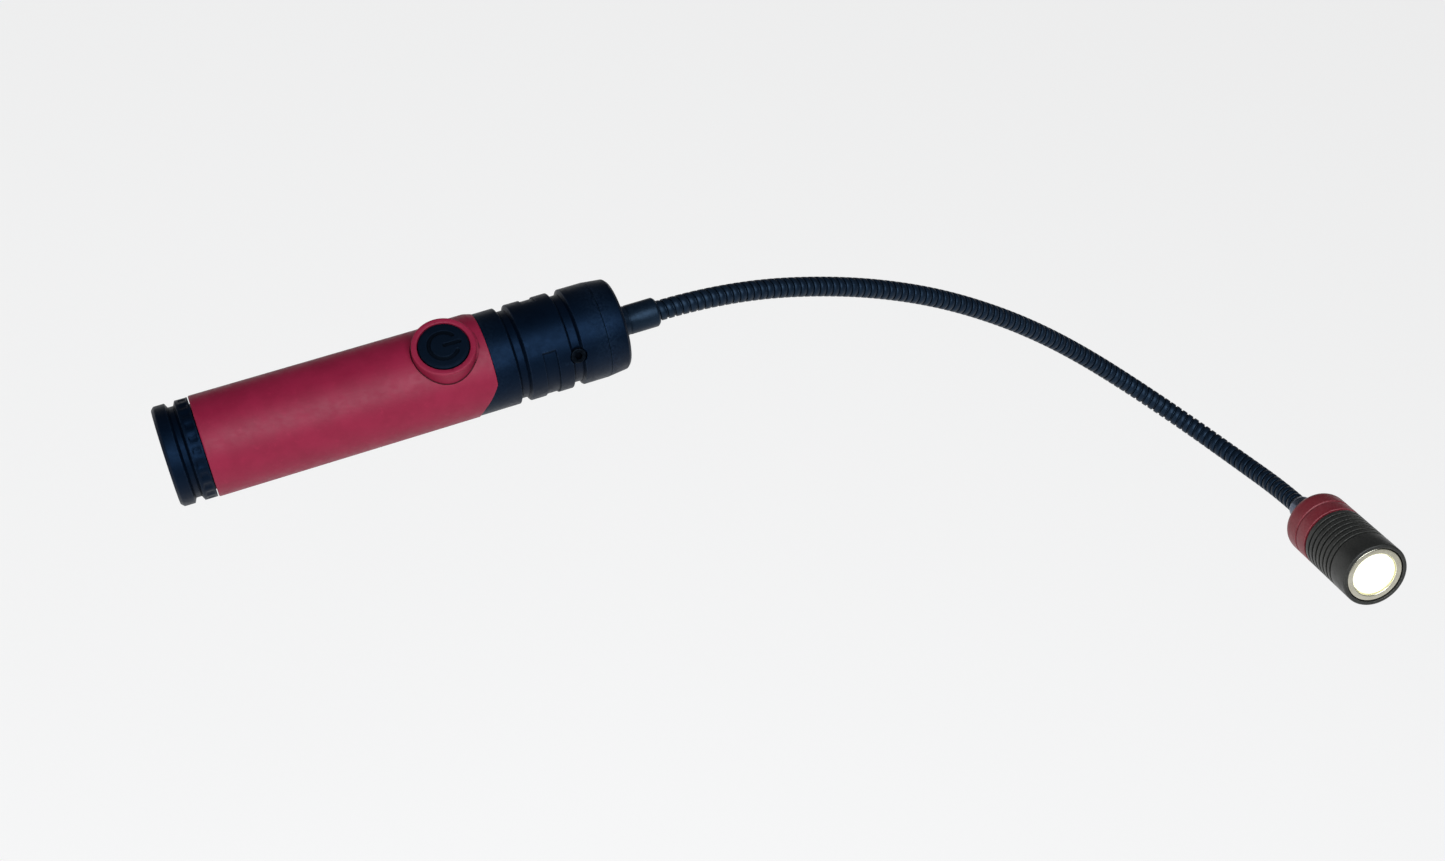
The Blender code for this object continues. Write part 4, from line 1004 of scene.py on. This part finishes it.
def ribbed_section(name, path):
    """Neck wire wound as one helix; its turns run on from one stretch to the next."""
    phases = rib_phases()
    angles = np.array(even_angles(NECK_SIDES))
    before, length = path.before / MM, path.length / MM
    low = int(np.floor(before / RIB_PITCH)) - 2
    high = int(np.ceil((before + length) / RIB_PITCH)) + 1
    turns = np.array([turn + phase for turn in range(low, high) for phase in phases])
    along = np.clip((turns[:, None] + angles / (2 * pi)) * RIB_PITCH - before, 0, length)
    around = np.broadcast_to(angles, along.shape)
    reach = rib_radius((along + before) / RIB_PITCH - around / (2 * pi))
    points, places = zip(strung(path, along, around, reach),
                         strung(path, *tube(path, NECK_BORE, NECK_SIDES)))
    bore = along.size
    faces = helix_faces(len(along), NECK_SIDES, len(phases))
    faces += [tuple(bore + corner for corner in face)
              for face in grid_faces(PATH_ROWS, NECK_SIDES, closed_rows=False)]
    ends = ((0, bore), (bore - NECK_SIDES, bore + (PATH_ROWS - 1) * NECK_SIDES))
    for outer, inner in ends:
        for side in range(NECK_SIDES):
            other = (side + 1) % NECK_SIDES
            faces.append((outer + side, outer + other, inner + other, inner + side))
    return solid(name, np.concatenate(points), faces, Matrix.Identity(4), NECK_WELD,
                 np.concatenate(places))


def lead_faces(rows):
    """The skin of a round lead with this many rows, and its two ends."""
    count = rows * LEAD_SIDES
    return grid_faces(rows, LEAD_SIDES, closed_rows=False) + [
        tuple(range(LEAD_SIDES)), tuple(range(count - LEAD_SIDES, count))]


def lead_section(name, path):
    """The round two-core lead inside the neck."""
    points, places = strung(path, *tube(path, LEAD_RADIUS, LEAD_SIDES))
    return solid(name, points, lead_faces(PATH_ROWS), Matrix.Identity(4), NECK_WELD, places)


def lead(name, stops, matrix):
    """A round lead through these points in one plane, eased from stop to stop."""
    stops = [Vector(stop) for stop in stops]
    middles = []
    for i in range(len(stops) - 1):
        here, there = stops[i], stops[i + 1]
        out = (there - stops[max(i - 1, 0)]) / 2
        home = (stops[min(i + 2, len(stops) - 1)] - here) / 2
        for step in range(STOP_STEPS):
            t = step / STOP_STEPS
            middles.append((2 * t ** 3 - 3 * t ** 2 + 1) * here + (t ** 3 - 2 * t ** 2 + t) * out
                           + (3 * t ** 2 - 2 * t ** 3) * there + (t ** 3 - t ** 2) * home)
    middles.append(stops[-1])
    points = []
    for i, middle in enumerate(middles):
        ahead = (middles[min(i + 1, len(middles) - 1)] - middles[max(i - 1, 0)]).normalized()
        side = Vector((0, 1, 0))
        up = ahead.cross(side)
        points += [(middle + LEAD_RADIUS * (cos(angle) * up + sin(angle) * side)) * MM
                   for angle in even_angles(LEAD_SIDES)]
    return solid(name, points, lead_faces(len(middles)), matrix)


def make_neck():
    """Fourteen stretches: the first rides on the handle, the last on the head, and the rest are bent but ride on
    no body.
    """
    for number, path in enumerate(stretches):
        hosing = ribbed_section(f"gooseneck_{number:02d}", path)
        body = {0: "handle", LINKS + 2: "head"}.get(number)
        nodes = {0: ["neck_root"], LINKS + 1: [], LINKS + 2: ["neck_tip"]}.get(
            number, [f"neck_link_{number:02d}"])
        finish_piece(hosing, body, NECK_STEEL, "neck_steel", *nodes, reach=0.30, sharp=70)
        if body:
            continue
        cord = lead_section(f"lead_{number:02d}", path)
        nodes = [f"neck_lead_{number:02d}"] if number <= LINKS else []
        finish_piece(cord, None, JACKET, "lead_jacket", *nodes)
        start = path.points(0.0, 0.0, 0.0)
        end = path.points(path.length, 0.0, 0.0)
        for piece in (hosing, cord):
            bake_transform(piece)


def make_end_leads():
    """The lead from the switch board to the neck, and from the neck to the lamp."""
    rear = lead("lead_in_handle", [
        (109.5, 0, 3.2), (113.5, 0, 3.6), (119, 0, 2.6), (125, 0, 0.8), (131, 0, 0),
        (141, 0, 0), (SOCKET_MOUTH, 0, 0)], handle)
    finish_piece(rear, "handle", JACKET, "lead_jacket", "handle_lead")
    front = lead("lead_in_head", [
        (0, 0, 0), (6, 0, 0), (12, 0, 0), (16, 0, 0.8), (20, 0, 2.6), (24, 0, 2.8), (28, 0, 1.0),
        (31, 0, 0), (34, 0, 0)], head)
    finish_piece(front, "head", JACKET, "lead_jacket", "head_lead")


# ---- head

def make_ferrule():
    ferrule = turned("head_collet", [
        (0, SOCKET_BORE), (0, 4.15, 0.1), (0.7, 4.45, 0.3), (6.2, 4.9, 1.0), (8.2, 5.8, 0.8),
        (FERRULE_LENGTH, 5.8, 0.2), (FERRULE_LENGTH, 4.2), (13.0, 4.2, 0.2), (13.0, LEAD_HOLE),
        (6.5, LEAD_HOLE), (6.5, SOCKET_BORE)], head, steps=6)
    finish_piece(ferrule, "head", FERRULE_STEEL, "ferrule_steel", "head_ferrule", reach=0.4)


def make_head_cap():
    cap = turned("rear_bell", [
        (CAP_BACK, 4.5, 0.2), (CAP_BACK, HEAD_RADIUS, 3.6), (CAP_LINE[0], HEAD_RADIUS, 0.15),
        (CAP_LINE[0] + 0.3, HEAD_RADIUS - CAP_LINE_DEPTH),
        (CAP_LINE[1] - 0.3, HEAD_RADIUS - CAP_LINE_DEPTH), (CAP_LINE[1], HEAD_RADIUS, 0.15),
        (CAP_FRONT, HEAD_RADIUS, 0.3), (CAP_FRONT, 9.5, 0.2), (13.3, 9.5), (13.3, 4.5)],
        head, 160, steps=8)
    finish_piece(cap, "head", HEAD_RED, "red_anodised", "head_cap")


def make_head_barrel():
    """The black barrel, from its shoulder over the fins and the nose, and back inside."""
    floor = HEAD_RADIUS - FIN_DEPTH
    back, spigot = BARREL_SPIGOT
    seal_back, seal_front, seal_floor = HEAD_SEAL
    profile = [(BARREL_BACK, spigot), (BARREL_BACK, floor), (BARREL_SHOULDER - 0.04, floor, 0.25),
               (BARREL_SHOULDER, HEAD_RADIUS, 0.2)]
    for number in range(FIN_COUNT):
        near = FIN_START + number * FIN_PITCH
        far = near + FIN_GROOVE
        profile += [(near, HEAD_RADIUS, 0.2), (near + 0.04, floor, 0.25), (far - 0.04, floor, 0.25),
                    (far, HEAD_RADIUS, 0.2)]
    profile += [(BARREL_FRONT, HEAD_RADIUS, 1.5), (BARREL_FRONT, NOSE_BORE, 0.25),
                (GASKET_SEAT, NOSE_BORE), (GASKET_SEAT, LAMP_BORE), (BULKHEAD[1], LAMP_BORE),
                (BULKHEAD[1], LEAD_HOLE), (BULKHEAD[0], LEAD_HOLE), (BULKHEAD[0], WIRING_BORE),
                (back, WIRING_BORE), (back, spigot, 0.3), (seal_back, spigot),
                (seal_back, seal_floor), (seal_front, seal_floor), (seal_front, spigot)]
    barrel = turned("finned_barrel", profile, head, 160, steps=5)
    finish_piece(barrel, "head", HEAD_BLACK_AND_GLARE, "black_anodised", "head_barrel", reach=0.4)


def make_lamp():
    """What is seen in the nose: gasket, reflector, emitter, lens and ring magnet."""
    inner, outer = MAGNET_RADII
    gasket = turned("lens_seat", [
        (GASKET[0], LENS_RADIUS + 0.2, 0.15), (GASKET[0], outer, 0.15), (GASKET[1], outer, 0.15),
        (GASKET[1], LENS_RADIUS + 0.2, 0.15)], head)
    finish_piece(gasket, "head", RUBBER, "black_rubber", "lens_gasket")
    bowl = [(MIRROR_BACK + MIRROR_DEPTH * (step / 16) ** 2, 3.9 + 4.0 * step / 16)
            for step in range(17)]
    brim = MIRROR_BACK + MIRROR_DEPTH
    mirror = turned("lamp_reflector", [*bowl, (brim, 9.0), (brim - 1.2, 9.0), (MIRROR_BACK, 5.2)],
                    head)
    finish_piece(mirror, "head", MIRROR, "reflector_mirror", "reflector")
    base, top = EMITTER
    dome = [(base, 0), (base, EMITTER_HALF), (top, EMITTER_HALF)]
    dome += [(top + 0.7 * cos(step * pi / 16), EMITTER_HALF * 0.9 * sin(step * pi / 16))
             for step in range(8, -1, -1)]
    chip = turned("lamp_chip", dome, head, 48)
    finish_piece(chip, "head", PHOSPHOR, "led_phosphor", "led_emitter")
    crown = [(LENS_EDGE + LENS_CROWN * cos(step * pi / 24), LENS_RADIUS * sin(step * pi / 24))
             for step in range(13)]
    lens = turned("lens_dome", [*crown, (LENS_BACK, LENS_RADIUS), (LENS_BACK, 0)], head)
    finish_piece(lens, "head", LENS_CLEAR, "lens_clear", "lens")
    ring = turned("magnet_ring", [
        (LENS_BACK, inner), (LENS_BACK, outer), (MAGNET_FRONT, outer, 0.35),
        (MAGNET_FRONT, inner, 0.35)], head, 128)
    finish_piece(ring, "head", NICKEL, "magnet_nickel", "nose_magnet", reach=0.4)


# ---- carried pieces

def dress_inner_pieces():
    """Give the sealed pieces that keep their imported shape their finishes."""
    for surface, names in (
            (SEAL_RUBBER, ("front_ring_seal", "tail_seal", "head_seal")),
            (INNER_PLASTIC, ("battery_carrier", "tactile_switch", "driver_chip",
                             "button_retainer")),
            (CELL_WRAP, ("battery_cell_1", "battery_cell_2", "battery_cell_3")),
            (SPRING_STEEL, ("front_contact_spring", "tail_spring", "tail_contact",
                            "switch_plunger")),
            (CIRCUIT_BOARD, ("contact_board", "switch_board", "led_board"))):
        for name in names:
            for held in frame["nodes"][name].material_slots:
                held.link = "OBJECT"
                held.material = surface


# ---- studio

def make_floor():
    """A wide pale floor, so far down that no bend of the neck reaches it: the tool is held."""
    reach = FLOOR_REACH
    corners = [(x, y, z) for z in (FLOOR_HEIGHT - FLOOR_THICKNESS, FLOOR_HEIGHT) for x, y in
               ((-reach, -reach), (reach, -reach), (reach, reach), (-reach, reach))]
    faces = [(3, 2, 1, 0), (4, 5, 6, 7), (0, 1, 5, 4), (1, 2, 6, 5), (2, 3, 7, 6), (3, 0, 4, 7)]
    floor = solid("studio_floor", corners, faces, Matrix.Identity(4))
    paper = Nodes("studio_paper")
    paper.set(Base_Color=FLOOR_COLOUR, Roughness=0.9, Specular_IOR_Level=0.15,
              Emission_Color=(1.0, 1.0, 1.0), Emission_Strength=FLOOR_GLOW)
    floor.data.materials.append(paper.material)


def make_camera():
    """The camera at the photo's viewing angle, as its look, right, up and place."""
    look = (handle.to_3x3() @ Vector(LOOK)).normalized()
    right = (handle.to_3x3() @ Vector(IMAGE_RIGHT)).normalized()
    right = (right - right.dot(look) * look).normalized()
    up = right.cross(look)
    matrix = Matrix((right, up, -look)).transposed().to_4x4()
    matrix.translation = handle @ (Vector(EYE) * MM)
    lens = bpy.data.cameras.new("studio_camera")
    lens.sensor_fit = "HORIZONTAL"
    lens.sensor_width = SENSOR_WIDTH
    lens.lens = LENS_LENGTH
    lens.clip_end = 50.0
    bpy.context.scene.camera = link_object("studio_camera", lens, matrix)
    return look, right, up, matrix.translation


def make_studio():
    """Camera, floodlights and world."""
    look, right, up, eye = make_camera()
    middle = eye + look * TOOL_DISTANCE
    for name, (sideways, upwards, back), size, power, colour in STUDIO_LIGHTS:
        at = middle + right * sideways + up * upwards - look * back
        lamp = bpy.data.lights.new(name, "AREA")
        lamp.shape = "RECTANGLE"
        lamp.size, lamp.size_y = size
        lamp.energy = power
        lamp.color = colour
        facing = (middle - at).normalized()
        link_object(name, lamp, axes(at, facing.orthogonal(), -facing))
    world = bpy.data.worlds.new("studio_world")
    world.use_nodes = True
    sky = world.node_tree.nodes["Background"]
    sky.inputs["Color"].default_value = (*WORLD_COLOUR, 1.0)
    sky.inputs["Strength"].default_value = WORLD_STRENGTH
    bpy.context.scene.world = world
    bpy.context.scene.view_settings.view_transform = "Standard"


make_handle_shell()
make_collar()
make_collar_screws()
make_front_ring()
make_neck_socket()
make_button()
make_tail_cap()
make_neck()
make_end_leads()
make_ferrule()
make_head_cap()
make_head_barrel()
make_lamp()
dress_inner_pieces()
make_floor()
make_studio()
